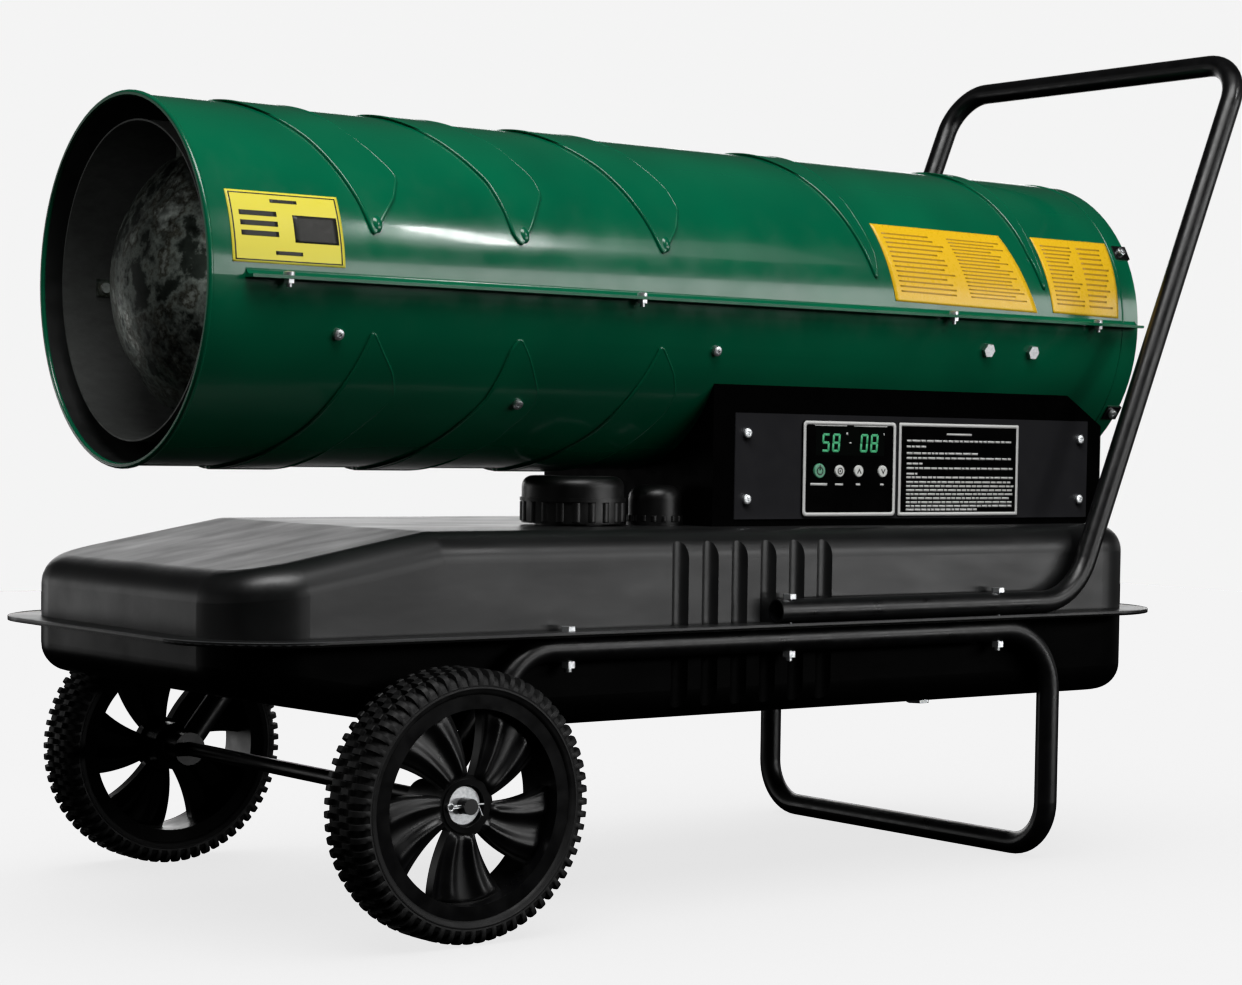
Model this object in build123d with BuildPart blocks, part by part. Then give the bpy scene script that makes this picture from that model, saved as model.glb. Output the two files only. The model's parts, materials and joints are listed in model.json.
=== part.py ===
from build123d import *
import math
import os

# Forced air heater: a barrel burner on a fuel tank with two wheels, a bent-tube frame and a handle.
# Millimetres. X runs from the hot-air outlet (-X) to the air intake (+X), the panel faces -Y, +Z is up.
# The origin is on the floor, under the middle of the overall box. "Left" is the -Y side.

os.makedirs("parts", exist_ok=True)

# ---------------------------------------------------------------- driving dimensions

# Clearances
HOLE_GAP = 0.1  # radial, fastener or tube in its hole
RUNNING_GAP = 0.06  # radial, shaft in its bore
SIDE_GAP = 0.3  # between faces that move past each other

# Wheels and axle
WHEEL_D = 203.0
TYRE_W = 51.0
TYRE_DEPTH = 21.0  # from tread to the rim's seat
RIM_WALL = 8.0
RIM_LIP = 2.5
RIM_W = 45.0
HUB_D = 40.0
HUB_LENGTH = 27.5
HUB_RING_D = 31.0  # inside of the raised ring round the washer
HUB_RING_H = 6.0
SPOKE_COUNT = 5
SPOKE_T = 9.0
SPOKE_SET = 12.5  # from the rim's outer edge back to the spokes
SPOKE_TURN = {-1: 27.6, 1: 4.2}  # how each wheel stands, in degrees
SPOKE_ROOT = 3.0  # web round the hub
AXLE_D = 12.0
AXLE_X = -366.0
AXLE_END = 10.0  # axle past the washer
WHEEL_TO_FRAME = 3.5
HUB_TO_FRAME = 6.5
WASHER_D = 28.0
WASHER_T = 2.0
COTTER_D = 3.0
COTTER_LENGTH = 24.0

# Cart tube
TUBE_D = 20.0
TUBE_WALL = 1.5
TUBE_TO_TANK = 1.0
FRAME_SLOPE = 52.0  # degrees, from the axle up to the run under the tank
FRAME_BENDS = (45.0, 58.0, 42.0)
FOOT_X = 284.0
HANDLE_FRONT = -34.0
HANDLE_BEND_X = 313.0
HANDLE_TOP_X = 527.0
HANDLE_TOP_Z = 738.0
HANDLE_BENDS = (60.0, 42.0)
EYE_D = 28.0

# Frame bolts
BOLT_D = 6.0
BOLT_HEAD_D = 10.0
BOLT_HEAD_T = 4.0
NUT_T = 5.0
FRONT_BOLT_X = -242.0
HANDLE_BOLTS_X = (-20.0, 219.0)

# Tank
TANK_LENGTH = 945.0
TANK_WIDTH = 370.0
TANK_X = -49.5
TANK_CORNER = 60.0
TANK_FLANGE = 26.0
TANK_WALL = 1.6
TANK_SPLIT_Z = 221.0
UPPER_DEPTH = 79.0
LOWER_DEPTH = 74.0
UPPER_NOSE = (-350.0, 32.0)  # where the slope starts, and how far it drops by the front wall
LOWER_NOSE = (-330.0, 35.0)
SHOULDER = 24.0
GROOVES = 6  # stiffening grooves pressed into each side
GROOVE_W = 17.0
GROOVE_DEPTH = 5.0
GROOVE_PITCH = 30.4
GROOVES_X = -49.0

# Tank fittings
FILLER_X, FILLER_Y = -145.0, -62.0
FILLER_D = 52.0
FILLER_NECK_H = 18.0
CAP_D = 88.0
CAP_SKIRT_H = 21.0
CAP_GRIP_H = 18.0
CAP_WALL = 3.0
CAP_EDGE = 9.0  # radius of the top edge
CAP_LIP = 1.5  # lip over the ribbed skirt
CAP_GRIP_W = 22.0
CAP_GRIP_DEPTH = 13.0
STRAINER_DEPTH = 58.0
GAUGE_X, GAUGE_Y = -71.5, -78.0
GAUGE_D = 48.0
GAUGE_H = 34.0
GAUGE_HOLE_D = 26.0
FLOAT_ARM = 105.0
FLOAT_D = 20.0
FLOAT_LENGTH = 28.0
FLOAT_DROP = 55.0  # degrees below level, tank empty
DRAIN_X, DRAIN_Y = 195.0, -120.0
DRAIN_D = 18.0
PICKUP_TO_BURNER = 50.0  # pickup tube behind the burner head's front
PICKUP_Y = 7.0
PICKUP_D = 8.0
PICKUP_FLOOR_GAP = 8.0
PICKUP_FILTER_H = 30.0
PICKUP_COLLAR = 3.0

# Barrel
BARREL_D = 281.0
BARREL_LENGTH = 972.0
BARREL_FRONT = -522.0
BARREL_Z = 486.0
SHEET = 1.2
RIM_BEAD_D = 4.4
SEAM_FLANGE = 12.0
SEAM_FRONT = 30.0  # the seam flange starts this far behind the outlet rim
SEAM_REAR = 4.0
SEAM_SCREWS_AT = (0.0638, 0.394, 0.748, 0.9372)  # shares of the barrel length, from the outlet
SCREW_D = 4.0
SCREW_HEAD_D = 8.0
SCREW_HEAD_T = 2.4
SCREW_GRIP = 4.0
HEX_BOLTS_APART = 56.0
HEX_BOLT_D = 6.0
HEX_HEAD_D = 11.0
HEX_HEAD_T = 4.0
MOTOR_BOLT_ANGLE = -11.5
SHIELD_SCREW_INSET = (100.0, 33.0)  # from the front and the rear end of the heat shield
SHIELD_SCREW_ANGLE = -16.2
RIB_SCREW_BACK = 286.0  # from the outlet, on top of a pressed rib
RIB_SCREW_ANGLE = -37.7
RIB_PROUD = 2.0
# Pressed ribs of the upper shell, seen from the side: (x, angle) round the outline
WIDE_RIBS = (
    (
        (-382, 15), (-390, 26), (-398, 35), (-412, 50), (-426, 62), (-447, 90),
        (-399, 90), (-378, 60), (-367.5, 50), (-355, 40), (-350.6, 36), (-359, 28), (-372, 21),
    ),
    (
        (-249, 15), (-255, 18.6), (-259, 27), (-265, 37), (-280, 49), (-295, 62), (-316, 90),
        (-272, 90), (-250.6, 64.5), (-237, 56.5), (-229.4, 48), (-221, 41), (-219, 34.5),
        (-227, 28.7), (-238, 21),
    ),
    (
        (-110, 15.5), (-120, 27), (-130, 37), (-143, 49), (-160, 62), (-181, 90),
        (-134, 90), (-108, 64), (-86, 40.5), (-83.7, 33), (-92, 25),
    ),
)
NARROW_RIBS = (
    ((121, 12), (122.5, 20.5), (115, 35), (107, 52.6), (96, 90), (62, 90), (85, 55), (93, 45.5), (106, 30)),
    ((327, 12), (322, 27.8), (321, 42.4), (317.6, 60.6), (309, 90), (288, 90), (300, 60), (309, 40), (316, 25)),
)

# Burner
SHIELD_D = 244.0
SHIELD_FRONT = -512.0
SHIELD_TO_REAR = 470.0  # heat shield's end to the barrel's rear end
CHAMBER_D = 196.0
CHAMBER_FRONT = -408.0
BURNER_TO_REAR = 390.0
CHAMBER_TAB_INSET = (28.0, 90.0)  # from the chamber's front and from the burner head
TAB_W = 14.0
TAB_T = 2.0
DOME_D = 194.0
DOME_BULGE = 44.0
DOME_X = -472.0
HEAD_BORE = 18.0
NOZZLE_D = 14.0
NOZZLE_LENGTH = 22.0
ADAPTOR_D = 26.0
ADAPTOR_LENGTH = 30.0
ELECTRODE_D = 6.0
ELECTRODE_LENGTH = 58.0
ELECTRODE_OFFSET = 26.0
ELECTRODE_REACH = 20.0  # rod in front of the burner head
ELECTRODE_TIP_D = 2.0
ELECTRODE_TIP = 16.0
PHOTOCELL_D = 16.0
PHOTOCELL_LENGTH = 22.0
PHOTOCELL_OFFSET = 50.0

# Fan, motor and pump
FAN_D = 248.0
FAN_BLADES = 5
FAN_PITCH = 32.0
FAN_CHORD = 56.0
FAN_HUB_D = 44.0
FAN_TO_REAR = 275.0
FAN_HUB_LENGTH = 34.0
MOTOR_D = 96.0
MOTOR_TO_REAR = 218.0
MOTOR_LENGTH = 112.0
MOTOR_WALL = 10.0
SHAFT_D = 12.0
ROTOR_GAP = 1.0
BRACKET_T = 2.5
BRACKET_LENGTH = 92.0
BRACKET_TO_REAR = 166.0
BRACKET_END_H = 46.0
SADDLE_LENGTH = 74.0
SADDLE_W = 56.0
SADDLE_H = 10.0
PUMP_D = 90.0
PUMP_LENGTH = 28.0
PUMP_RING_D = 50.0
PUMP_ROTOR_D = 46.0
PUMP_ECCENTRIC = 1.5
PUMP_COVER_T = 14.0
GAUGE_FACE_D = 30.0
GAUGE_FACE_T = 14.0
LINE_D = 5.0
LINE_WALL = 1.0
AIR_BEND = 18.0
FUEL_BEND = 10.0
LINE_DROP = 131.0

# Rear guard
GUARD_WIRE = 2.6
GUARD_RINGS = 5
GUARD_SPOKES = 8
GUARD_INSET = 1.0
GUARD_EARS = (30.0, -35.0, 150.0, -145.0)
EAR_W = 14.0
EAR_LENGTH = 16.0
EAR_T = 1.5

# Control box
BOX_FRONT = -46.0
BOX_REAR = 420.0
BOX_HALF_W = 124.0
BOX_TOP = 421.0
BOX_REAR_CHAMFER = (48.0, 29.0)
PANEL_X = (-23.0, 401.0)
PANEL_Z = (306.0, 396.0)
PANEL_SCREW_INSET = (11.5, 17.0)
WINDOW_INSET = (24.0, 6.0)
BEZEL_X = (49.5, 157.0)
BEZEL_Z = (308.0, 391.0)
BEZEL_T = 2.0
LENS_X = (64.0, 143.0)
LENS_Z = (361.0, 386.0)
LENS_T = 1.2
LENS_SEAT = 1.5
INFO_X = (161.0, 309.5)
INFO_T = 0.8
BOARD_T = 1.6
BOARD_GAP = 6.0
BOARD_INSET = 8.0
POST_D = 5.0
SWITCH_D = 5.0
SWITCH_H = 3.0
BUTTON_ROW_Z = 347.5
BUTTONS = {"power": (68.0, 6.4), "set": (91.0, 5.2), "up": (113.0, 5.2), "down": (141.0, 5.2)}
BUTTON_PROUD = 1.5
BUTTON_TRAVEL = 0.8
BUTTON_GAP = 0.2
TRANSFORMER = (70.0, 56.0, 40.0)
TRANSFORMER_AT = (300.0, 74.0)
INLET_Y, INLET_Z = 80.0, 328.0
INLET_FLANGE = (50.0, 28.0)
INLET_BODY = (28.0, 20.0)
INLET_FACE = 3.0
INLET_DEPTH = 26.0
INLET_RECESS = 18.0
INLET_PIN = 10.0

# ---------------------------------------------------------------- derived places

WHEEL_R = WHEEL_D / 2
AXLE_Z = WHEEL_R
TUBE_R = TUBE_D / 2
TUBE_Y = TANK_WIDTH / 2 + TUBE_R + TUBE_TO_TANK
FRAME_Z = TANK_SPLIT_Z - TANK_WALL - TUBE_R
HANDLE_Z = TANK_SPLIT_Z + TANK_WALL + TUBE_R
WHEEL_Y = TUBE_Y + TUBE_R + WHEEL_TO_FRAME + TYRE_W / 2
HUB_INNER_Y = TUBE_Y + TUBE_R + HUB_TO_FRAME
HUB_OUTER_Y = HUB_INNER_Y + HUB_LENGTH
WASHER_Y = HUB_OUTER_Y + SIDE_GAP
AXLE_HALF = WASHER_Y + WASHER_T + AXLE_END
TANK_TOP = TANK_SPLIT_Z + UPPER_DEPTH
TANK_FLOOR = TANK_SPLIT_Z - LOWER_DEPTH
BARREL_R = BARREL_D / 2
BARREL_REAR = BARREL_FRONT + BARREL_LENGTH
SHIELD_REAR = BARREL_REAR - SHIELD_TO_REAR
BURNER_X = BARREL_REAR - BURNER_TO_REAR
PICKUP_X = BURNER_X + PICKUP_TO_BURNER
CHAMBER_TABS_X = (CHAMBER_FRONT + CHAMBER_TAB_INSET[0], BURNER_X - CHAMBER_TAB_INSET[1])
FAN_X = BARREL_REAR - FAN_TO_REAR
MOTOR_FRONT = BARREL_REAR - MOTOR_TO_REAR
BRACKET_X = BARREL_REAR - BRACKET_TO_REAR
HEX_BOLTS_X = (BRACKET_X - HEX_BOLTS_APART / 2, BRACKET_X + HEX_BOLTS_APART / 2)
SEAM_SCREWS_X = [BARREL_FRONT + BARREL_LENGTH * share for share in SEAM_SCREWS_AT]
SHIELD_SCREWS_X = (SHIELD_FRONT + SHIELD_SCREW_INSET[0], SHIELD_REAR - SHIELD_SCREW_INSET[1])
BARREL_AXIS = Axis((0, 0, BARREL_Z), (1, 0, 0))
AXLE_AXIS = Axis((AXLE_X, 0, AXLE_Z), (0, 1, 0))
SHIELD_R = SHIELD_D / 2
CHAMBER_R = CHAMBER_D / 2
INNER_R = BARREL_R - SHEET
BOLTS_X = (FRONT_BOLT_X, *HANDLE_BOLTS_X)
MOTOR_REAR = MOTOR_FRONT + MOTOR_LENGTH
PUMP_REAR = MOTOR_REAR + PUMP_LENGTH
COVER_REAR = PUMP_REAR + PUMP_COVER_T
PANEL_Y = -BOX_HALF_W - SHEET
BOARD_Y = -BOX_HALF_W + SHEET + BOARD_GAP
BOTH_SIDES = (-1, 1)


def rounded(length, width, radius):
    """Rounded rectangle, with the radius kept inside the shorter side."""
    return RectangleRounded(length, width, min(radius, min(length, width) / 2 - 0.1))


def station(x):
    """Plane across the barrel at x: local x is +Y, local y is up."""
    return Plane((x, 0, BARREL_Z), x_dir=(0, 1, 0), z_dir=(1, 0, 0))


def around_barrel(x, angle, radius):
    """Plane that looks outward from the barrel axis; the angle counts up from the -Y side."""
    turn = math.radians(angle)
    out = (0, -math.cos(turn), math.sin(turn))
    return Plane((x, out[1] * radius, BARREL_Z + out[2] * radius), x_dir=(1, 0, 0), z_dir=out)


def across(x, y, z):
    """Plane that looks along +Y at a point, with local x along +X."""
    return Plane((x, y, z), x_dir=(1, 0, 0), z_dir=(0, 1, 0))


def both_flanks(places):
    """Barrel places (x, angle) on the -Y side and their mirror places on the +Y side."""
    return [(x, a) for x, angle in places for a in (angle, 180 - angle)]


def disc(plane, radius, length, bore=0.0, mode=Mode.ADD):
    """Round bar, disc or tube from a plane along its normal."""
    with BuildSketch(plane) as profile:
        Circle(radius)
        if bore:
            Circle(bore, mode=Mode.SUBTRACT)
    extrude(profile.sketch, amount=length, mode=mode)


def hexagon(plane, across_flats, length):
    """Hexagon bar from a plane along its normal."""
    with BuildSketch(plane) as profile:
        RegularPolygon(across_flats / 2, 6, major_radius=False)
    extrude(profile.sketch, amount=length)


# ---------------------------------------------------------------- tank


GROOVE_R = (GROOVE_W**2 / 4 + GROOVE_DEPTH**2) / (2 * GROOVE_DEPTH)


def tank_form(depth, nose, inset):
    """Solid form of one tank pressing: open side on z = 0, pressed towards +Z, grooved on both sides."""
    nose_x, drop = nose
    front = TANK_X - TANK_LENGTH / 2
    slope = drop / (nose_x - front)
    past = front - TANK_CORNER
    top = depth - inset
    with BuildPart() as form:
        with BuildSketch():
            with Locations((TANK_X, 0)):
                rounded(TANK_LENGTH - 2 * inset, TANK_WIDTH - 2 * inset, TANK_CORNER - inset)
        extrude(amount=top)
        with BuildSketch(Plane.XZ):
            with BuildLine():
                Polyline(
                    (nose_x, top),
                    (past, top - slope * (nose_x - past)),
                    (past, top + depth),
                    (nose_x, top + depth),
                    close=True,
                )
            make_face()
        extrude(amount=TANK_WIDTH, both=True, mode=Mode.SUBTRACT)
        rim = form.edges().filter_by(lambda edge: edge.bounding_box().min.Z > 1)
        fillet(rim, radius=SHOULDER - inset)
        groove_y = TANK_WIDTH + 2 * (GROOVE_R - GROOVE_DEPTH)
        with BuildSketch():
            with Locations((GROOVES_X, 0)):
                with GridLocations(GROOVE_PITCH, groove_y, GROOVES, 2):
                    Circle(GROOVE_R + inset)
        extrude(amount=depth, mode=Mode.SUBTRACT)
    return form.part


def tank_pressing(depth, nose):
    """One half of the tank: pressed pan with its seam flange."""
    with BuildPart() as pressing:
        add(tank_form(depth, nose, 0))
        with BuildSketch():
            with Locations((TANK_X, 0)):
                rounded(
                    TANK_LENGTH + 2 * TANK_FLANGE,
                    TANK_WIDTH + 2 * TANK_FLANGE,
                    TANK_CORNER + TANK_FLANGE,
                )
        extrude(amount=TANK_WALL)
        add(tank_form(depth, nose, TANK_WALL), mode=Mode.SUBTRACT)
        with BuildSketch():
            with Locations(*[(x, y * TUBE_Y) for x in BOLTS_X for y in BOTH_SIDES]):
                Circle(BOLT_D / 2 + HOLE_GAP)
        extrude(amount=TANK_WALL, mode=Mode.SUBTRACT)
    return pressing.part


with BuildPart() as tank_upper:
    with Locations((0, 0, TANK_SPLIT_Z)):
        add(tank_pressing(UPPER_DEPTH, UPPER_NOSE))
    with BuildSketch(Plane.XY.offset(TANK_TOP)):
        with Locations((FILLER_X, FILLER_Y)):
            Circle(FILLER_D / 2 + HOLE_GAP)
        with Locations((GAUGE_X, GAUGE_Y)):
            Circle(GAUGE_HOLE_D / 2)
        with Locations((PICKUP_X, PICKUP_Y)):
            Circle(PICKUP_D / 2 + HOLE_GAP)
    extrude(amount=-2 * TANK_WALL, mode=Mode.SUBTRACT)

with BuildPart() as tank_lower:
    with Locations(Location((0, 0, TANK_SPLIT_Z), (180, 0, 0))):
        add(tank_pressing(LOWER_DEPTH, LOWER_NOSE))
    with BuildSketch(Plane.XY.offset(TANK_FLOOR)):
        with Locations((DRAIN_X, DRAIN_Y)):
            Circle(DRAIN_D / 4 + HOLE_GAP)
    extrude(amount=2 * TANK_WALL, mode=Mode.SUBTRACT)

# Filler neck, a tube with a collar that sits on the tank top
with BuildPart() as filler_neck:
    disc(
        Plane((FILLER_X, FILLER_Y, TANK_TOP - 3 * TANK_WALL)),
        FILLER_D / 2,
        FILLER_NECK_H + 3 * TANK_WALL,
        bore=FILLER_D / 2 - TANK_WALL,
    )
    disc(
        Plane((FILLER_X, FILLER_Y, TANK_TOP)),
        FILLER_D / 2 + 6,
        TANK_WALL,
        bore=FILLER_D / 2 - TANK_WALL,
    )

# Fuel strainer, a fine basket that hangs in the neck by its rim
STRAINER_R = FILLER_D / 2 - TANK_WALL - 0.5
NECK_TOP = TANK_TOP + FILLER_NECK_H
with BuildPart() as fuel_strainer:
    disc(
        Plane((FILLER_X, FILLER_Y, NECK_TOP - STRAINER_DEPTH)),
        STRAINER_R,
        STRAINER_DEPTH + 1,
    )
    disc(Plane((FILLER_X, FILLER_Y, NECK_TOP)), FILLER_D / 2, 1.0)
    disc(
        Plane((FILLER_X, FILLER_Y, NECK_TOP - STRAINER_DEPTH + 1)),
        STRAINER_R - 0.8,
        STRAINER_DEPTH,
        mode=Mode.SUBTRACT,
    )

# Filler cap, a round knob with a grip bar between two finger pockets; it turns on the neck
CAP_Z = TANK_TOP + TANK_WALL + SIDE_GAP
with BuildPart() as filler_cap:
    disc(Plane((FILLER_X, FILLER_Y, CAP_Z)), CAP_D / 2 - CAP_LIP, CAP_SKIRT_H + CAP_GRIP_H)
    fillet(filler_cap.edges().group_by(Axis.Z)[-1], radius=CAP_EDGE)
    disc(Plane((FILLER_X, FILLER_Y, CAP_Z + CAP_SKIRT_H - CAP_WALL)), CAP_D / 2, CAP_WALL)
    with BuildSketch(Plane((FILLER_X, FILLER_Y, CAP_Z + CAP_SKIRT_H + CAP_GRIP_H))):
        Circle(CAP_D / 2 - CAP_LIP - CAP_EDGE)
        Rectangle(CAP_D, CAP_GRIP_W, mode=Mode.SUBTRACT)
    extrude(amount=-CAP_GRIP_DEPTH, mode=Mode.SUBTRACT)
    disc(
        Plane((FILLER_X, FILLER_Y, CAP_Z)),
        FILLER_D / 2 + SIDE_GAP,
        NECK_TOP + 1 + SIDE_GAP - CAP_Z,
        mode=Mode.SUBTRACT,
    )
    disc(
        Plane((FILLER_X, FILLER_Y, CAP_Z)),
        CAP_D / 2 - CAP_LIP - CAP_WALL,
        CAP_SKIRT_H - CAP_WALL,
        bore=FILLER_D / 2 + SIDE_GAP + CAP_WALL,
        mode=Mode.SUBTRACT,
    )

# Fuel gauge, a domed sender with a stem that carries the float's pivot
PIVOT_DROP = 15.0
PIVOT_Z = TANK_TOP - PIVOT_DROP
STEM_W = 9.0
PIVOT_PIN_D = 3.0
with BuildPart() as fuel_gauge:
    disc(Plane((GAUGE_X, GAUGE_Y, TANK_TOP)), GAUGE_D / 2, 3)
    disc(Plane((GAUGE_X, GAUGE_Y, TANK_TOP)), GAUGE_D / 2 - 1.5, GAUGE_H)
    fillet(fuel_gauge.edges().group_by(Axis.Z)[-1], radius=12)
    with BuildSketch(Plane((GAUGE_X, GAUGE_Y, TANK_TOP))):
        Rectangle(STEM_W, STEM_W)
    extrude(amount=-20)
    disc(
        across(GAUGE_X, GAUGE_Y - STEM_W, PIVOT_Z),
        PIVOT_PIN_D / 2 + RUNNING_GAP,
        2 * STEM_W,
        mode=Mode.SUBTRACT,
    )

# Gauge float: pivot pin, arm beside the stem, and a float at its end, drawn as in an empty tank
drop = math.radians(FLOAT_DROP)
FLOAT_X = GAUGE_X + FLOAT_ARM * math.cos(drop)
FLOAT_Z = PIVOT_Z - FLOAT_ARM * math.sin(drop)
ARM_Y = GAUGE_Y + STEM_W / 2 + 2.5
with BuildPart() as gauge_float:
    disc(across(GAUGE_X, GAUGE_Y - STEM_W / 2 - 2, PIVOT_Z), PIVOT_PIN_D / 2, STEM_W + 6)
    arm_plane = Plane(
        (GAUGE_X, ARM_Y, PIVOT_Z),
        x_dir=(0, 1, 0),
        z_dir=(math.cos(drop), 0, -math.sin(drop)),
    )
    disc(arm_plane, PIVOT_PIN_D / 2, FLOAT_ARM)
    disc(across(FLOAT_X, ARM_Y - FLOAT_LENGTH / 2, FLOAT_Z), FLOAT_D / 2, FLOAT_LENGTH)

with BuildPart() as drain_plug:
    hexagon(Plane((DRAIN_X, DRAIN_Y, TANK_FLOOR - 7)), DRAIN_D, 7)
    disc(Plane((DRAIN_X, DRAIN_Y, TANK_FLOOR)), DRAIN_D / 4, 9)

# Fuel pickup, a dip tube with a filter at its foot and a small collar on the tank top
with BuildPart() as fuel_pickup:
    disc(
        Plane((PICKUP_X, PICKUP_Y, TANK_FLOOR + TANK_WALL + PICKUP_FLOOR_GAP)),
        PICKUP_D,
        PICKUP_FILTER_H,
    )
    disc(
        Plane((PICKUP_X, PICKUP_Y, TANK_FLOOR + TANK_WALL + PICKUP_FLOOR_GAP)),
        PICKUP_D / 2,
        UPPER_DEPTH + LOWER_DEPTH - TANK_WALL - PICKUP_FLOOR_GAP,
    )
    disc(Plane((PICKUP_X, PICKUP_Y, TANK_TOP)), PICKUP_D + 2, PICKUP_COLLAR)

# ---------------------------------------------------------------- frame, handle and bolts


def bent_tube(points, bends):
    """Hollow tube along a path of straight runs and bends."""
    with BuildPart() as tube:
        with BuildLine() as path:
            FilletPolyline(*points, radius=bends)
        with BuildSketch(Plane(path.line @ 0, z_dir=path.line % 0)):
            Circle(TUBE_R)
            Circle(TUBE_R - TUBE_WALL, mode=Mode.SUBTRACT)
        sweep()
    return tube.part


# Support frame: axle, up to a run under the tank flange, down to the rear foot bar, and back
FRAME_RISE_X = AXLE_X + (FRAME_Z - AXLE_Z) / math.tan(math.radians(FRAME_SLOPE))
frame_side = [
    (AXLE_X, AXLE_Z),
    (FRAME_RISE_X, FRAME_Z),
    (FOOT_X, FRAME_Z),
    (FOOT_X, TUBE_R),
]
frame_path = [(x, -TUBE_Y, z) for x, z in frame_side] + [(x, TUBE_Y, z) for x, z in frame_side[::-1]]
with BuildPart() as support_frame:
    add(bent_tube(frame_path, [*FRAME_BENDS, *FRAME_BENDS[::-1]]))
    for side in BOTH_SIDES:
        disc(across(AXLE_X, side * TUBE_Y - TUBE_R, AXLE_Z), EYE_D / 2, TUBE_D)
    disc(
        across(AXLE_X, -TUBE_Y - TUBE_D, AXLE_Z),
        AXLE_D / 2 + HOLE_GAP,
        2 * TUBE_Y + 2 * TUBE_D,
        mode=Mode.SUBTRACT,
    )
    for x in BOLTS_X:
        for side in BOTH_SIDES:
            disc(
                Plane((x, side * TUBE_Y, FRAME_Z - TUBE_D)),
                BOLT_D / 2 + HOLE_GAP,
                2 * TUBE_D,
                mode=Mode.SUBTRACT,
            )

# Handle: runs on top of the flange, leans back as two legs, joined by the grip bar
handle_side = [
    (HANDLE_FRONT, HANDLE_Z),
    (HANDLE_BEND_X, HANDLE_Z),
    (HANDLE_TOP_X, HANDLE_TOP_Z),
]
handle_path = [(x, -TUBE_Y, z) for x, z in handle_side] + [(x, TUBE_Y, z) for x, z in handle_side[::-1]]
with BuildPart() as handle:
    add(bent_tube(handle_path, [*HANDLE_BENDS, *HANDLE_BENDS[::-1]]))
    for x in HANDLE_BOLTS_X:
        for side in BOTH_SIDES:
            disc(
                Plane((x, side * TUBE_Y, HANDLE_Z - TUBE_D)),
                BOLT_D / 2 + HOLE_GAP,
                2 * TUBE_D,
                mode=Mode.SUBTRACT,
            )

NUT_Z = FRAME_Z - TUBE_R - NUT_T
with BuildPart() as frame_bolts:
    for x in BOLTS_X:
        seat = HANDLE_Z + TUBE_R if x in HANDLE_BOLTS_X else TANK_SPLIT_Z + TANK_WALL
        for side in BOTH_SIDES:
            hexagon(Plane((x, side * TUBE_Y, seat)), BOLT_HEAD_D, BOLT_HEAD_T)
            disc(Plane((x, side * TUBE_Y, NUT_Z - 3)), BOLT_D / 2, seat - NUT_Z + 3)

with BuildPart() as frame_nuts:
    for x in BOLTS_X:
        for side in BOTH_SIDES:
            hexagon(Plane((x, side * TUBE_Y, NUT_Z)), BOLT_HEAD_D, NUT_T)
            disc(
                Plane((x, side * TUBE_Y, NUT_Z)),
                BOLT_D / 2 + HOLE_GAP,
                NUT_T,
                mode=Mode.SUBTRACT,
            )

# ---------------------------------------------------------------- axle and wheels


def station_on_axle(x, y):
    """Plane across a split pin: looks along +X, at a distance from the axle's middle line."""
    return Plane((AXLE_X + x, y, AXLE_Z), x_dir=(0, 1, 0), z_dir=(1, 0, 0))


with BuildPart() as axle:
    disc(across(AXLE_X, -AXLE_HALF, AXLE_Z), AXLE_D / 2, 2 * AXLE_HALF)
    for side in BOTH_SIDES:
        pin_y = side * (AXLE_HALF - AXLE_END / 2)
        disc(
            station_on_axle(-AXLE_D, pin_y),
            COTTER_D / 2 + HOLE_GAP,
            2 * AXLE_D,
            mode=Mode.SUBTRACT,
        )

# Spacer inside and plain washer outside each hub
with BuildPart() as axle_washers:
    for side in BOTH_SIDES:
        spacer_length = HUB_INNER_Y - SIDE_GAP - TUBE_Y - TUBE_R
        first = min(side * (TUBE_Y + TUBE_R), side * (HUB_INNER_Y - SIDE_GAP))
        disc(
            across(AXLE_X, first, AXLE_Z),
            AXLE_D,
            spacer_length,
            bore=AXLE_D / 2 + HOLE_GAP,
        )
        first = min(side * WASHER_Y, side * (WASHER_Y + WASHER_T))
        disc(
            across(AXLE_X, first, AXLE_Z),
            WASHER_D / 2,
            WASHER_T,
            bore=AXLE_D / 2 + HOLE_GAP,
        )

with BuildPart() as cotter_pins:
    for side in BOTH_SIDES:
        pin_y = side * (AXLE_HALF - AXLE_END / 2)
        along_pin = Plane((AXLE_X, pin_y, AXLE_Z), x_dir=(1, 0, 0), z_dir=(0, -1, 0))
        with BuildSketch(along_pin):
            with Locations((-COTTER_LENGTH / 2, 0)):
                Circle(COTTER_D)
            Rectangle(COTTER_LENGTH, COTTER_D)
            with Locations((0, -2 * COTTER_D)):
                Rectangle(2 * COTTER_LENGTH, 4 * COTTER_D, mode=Mode.SUBTRACT)
        revolve(axis=Axis(along_pin.origin, (1, 0, 0)))


def wheel_section(side):
    """Plane through the axle: local x points outward along it, local y is up."""
    return Plane((AXLE_X, side * WHEEL_Y, AXLE_Z), x_dir=(0, side, 0), z_dir=(side, 0, 0))


def wheel_face(side, y):
    """Plane that looks in at a wheel from outside, at a distance from the middle: the same for both wheels."""
    return Plane((AXLE_X, side * y, AXLE_Z), x_dir=(-side, 0, 0), z_dir=(0, -side, 0))


RIM_R = WHEEL_R - TYRE_DEPTH  # tyre seat
SPOKE_TIP_R = RIM_R - RIM_WALL / 2


def polar(radius, degrees):
    """Point at a radius and an angle."""
    turn = math.radians(degrees)
    return (radius * math.cos(turn), radius * math.sin(turn))


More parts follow.
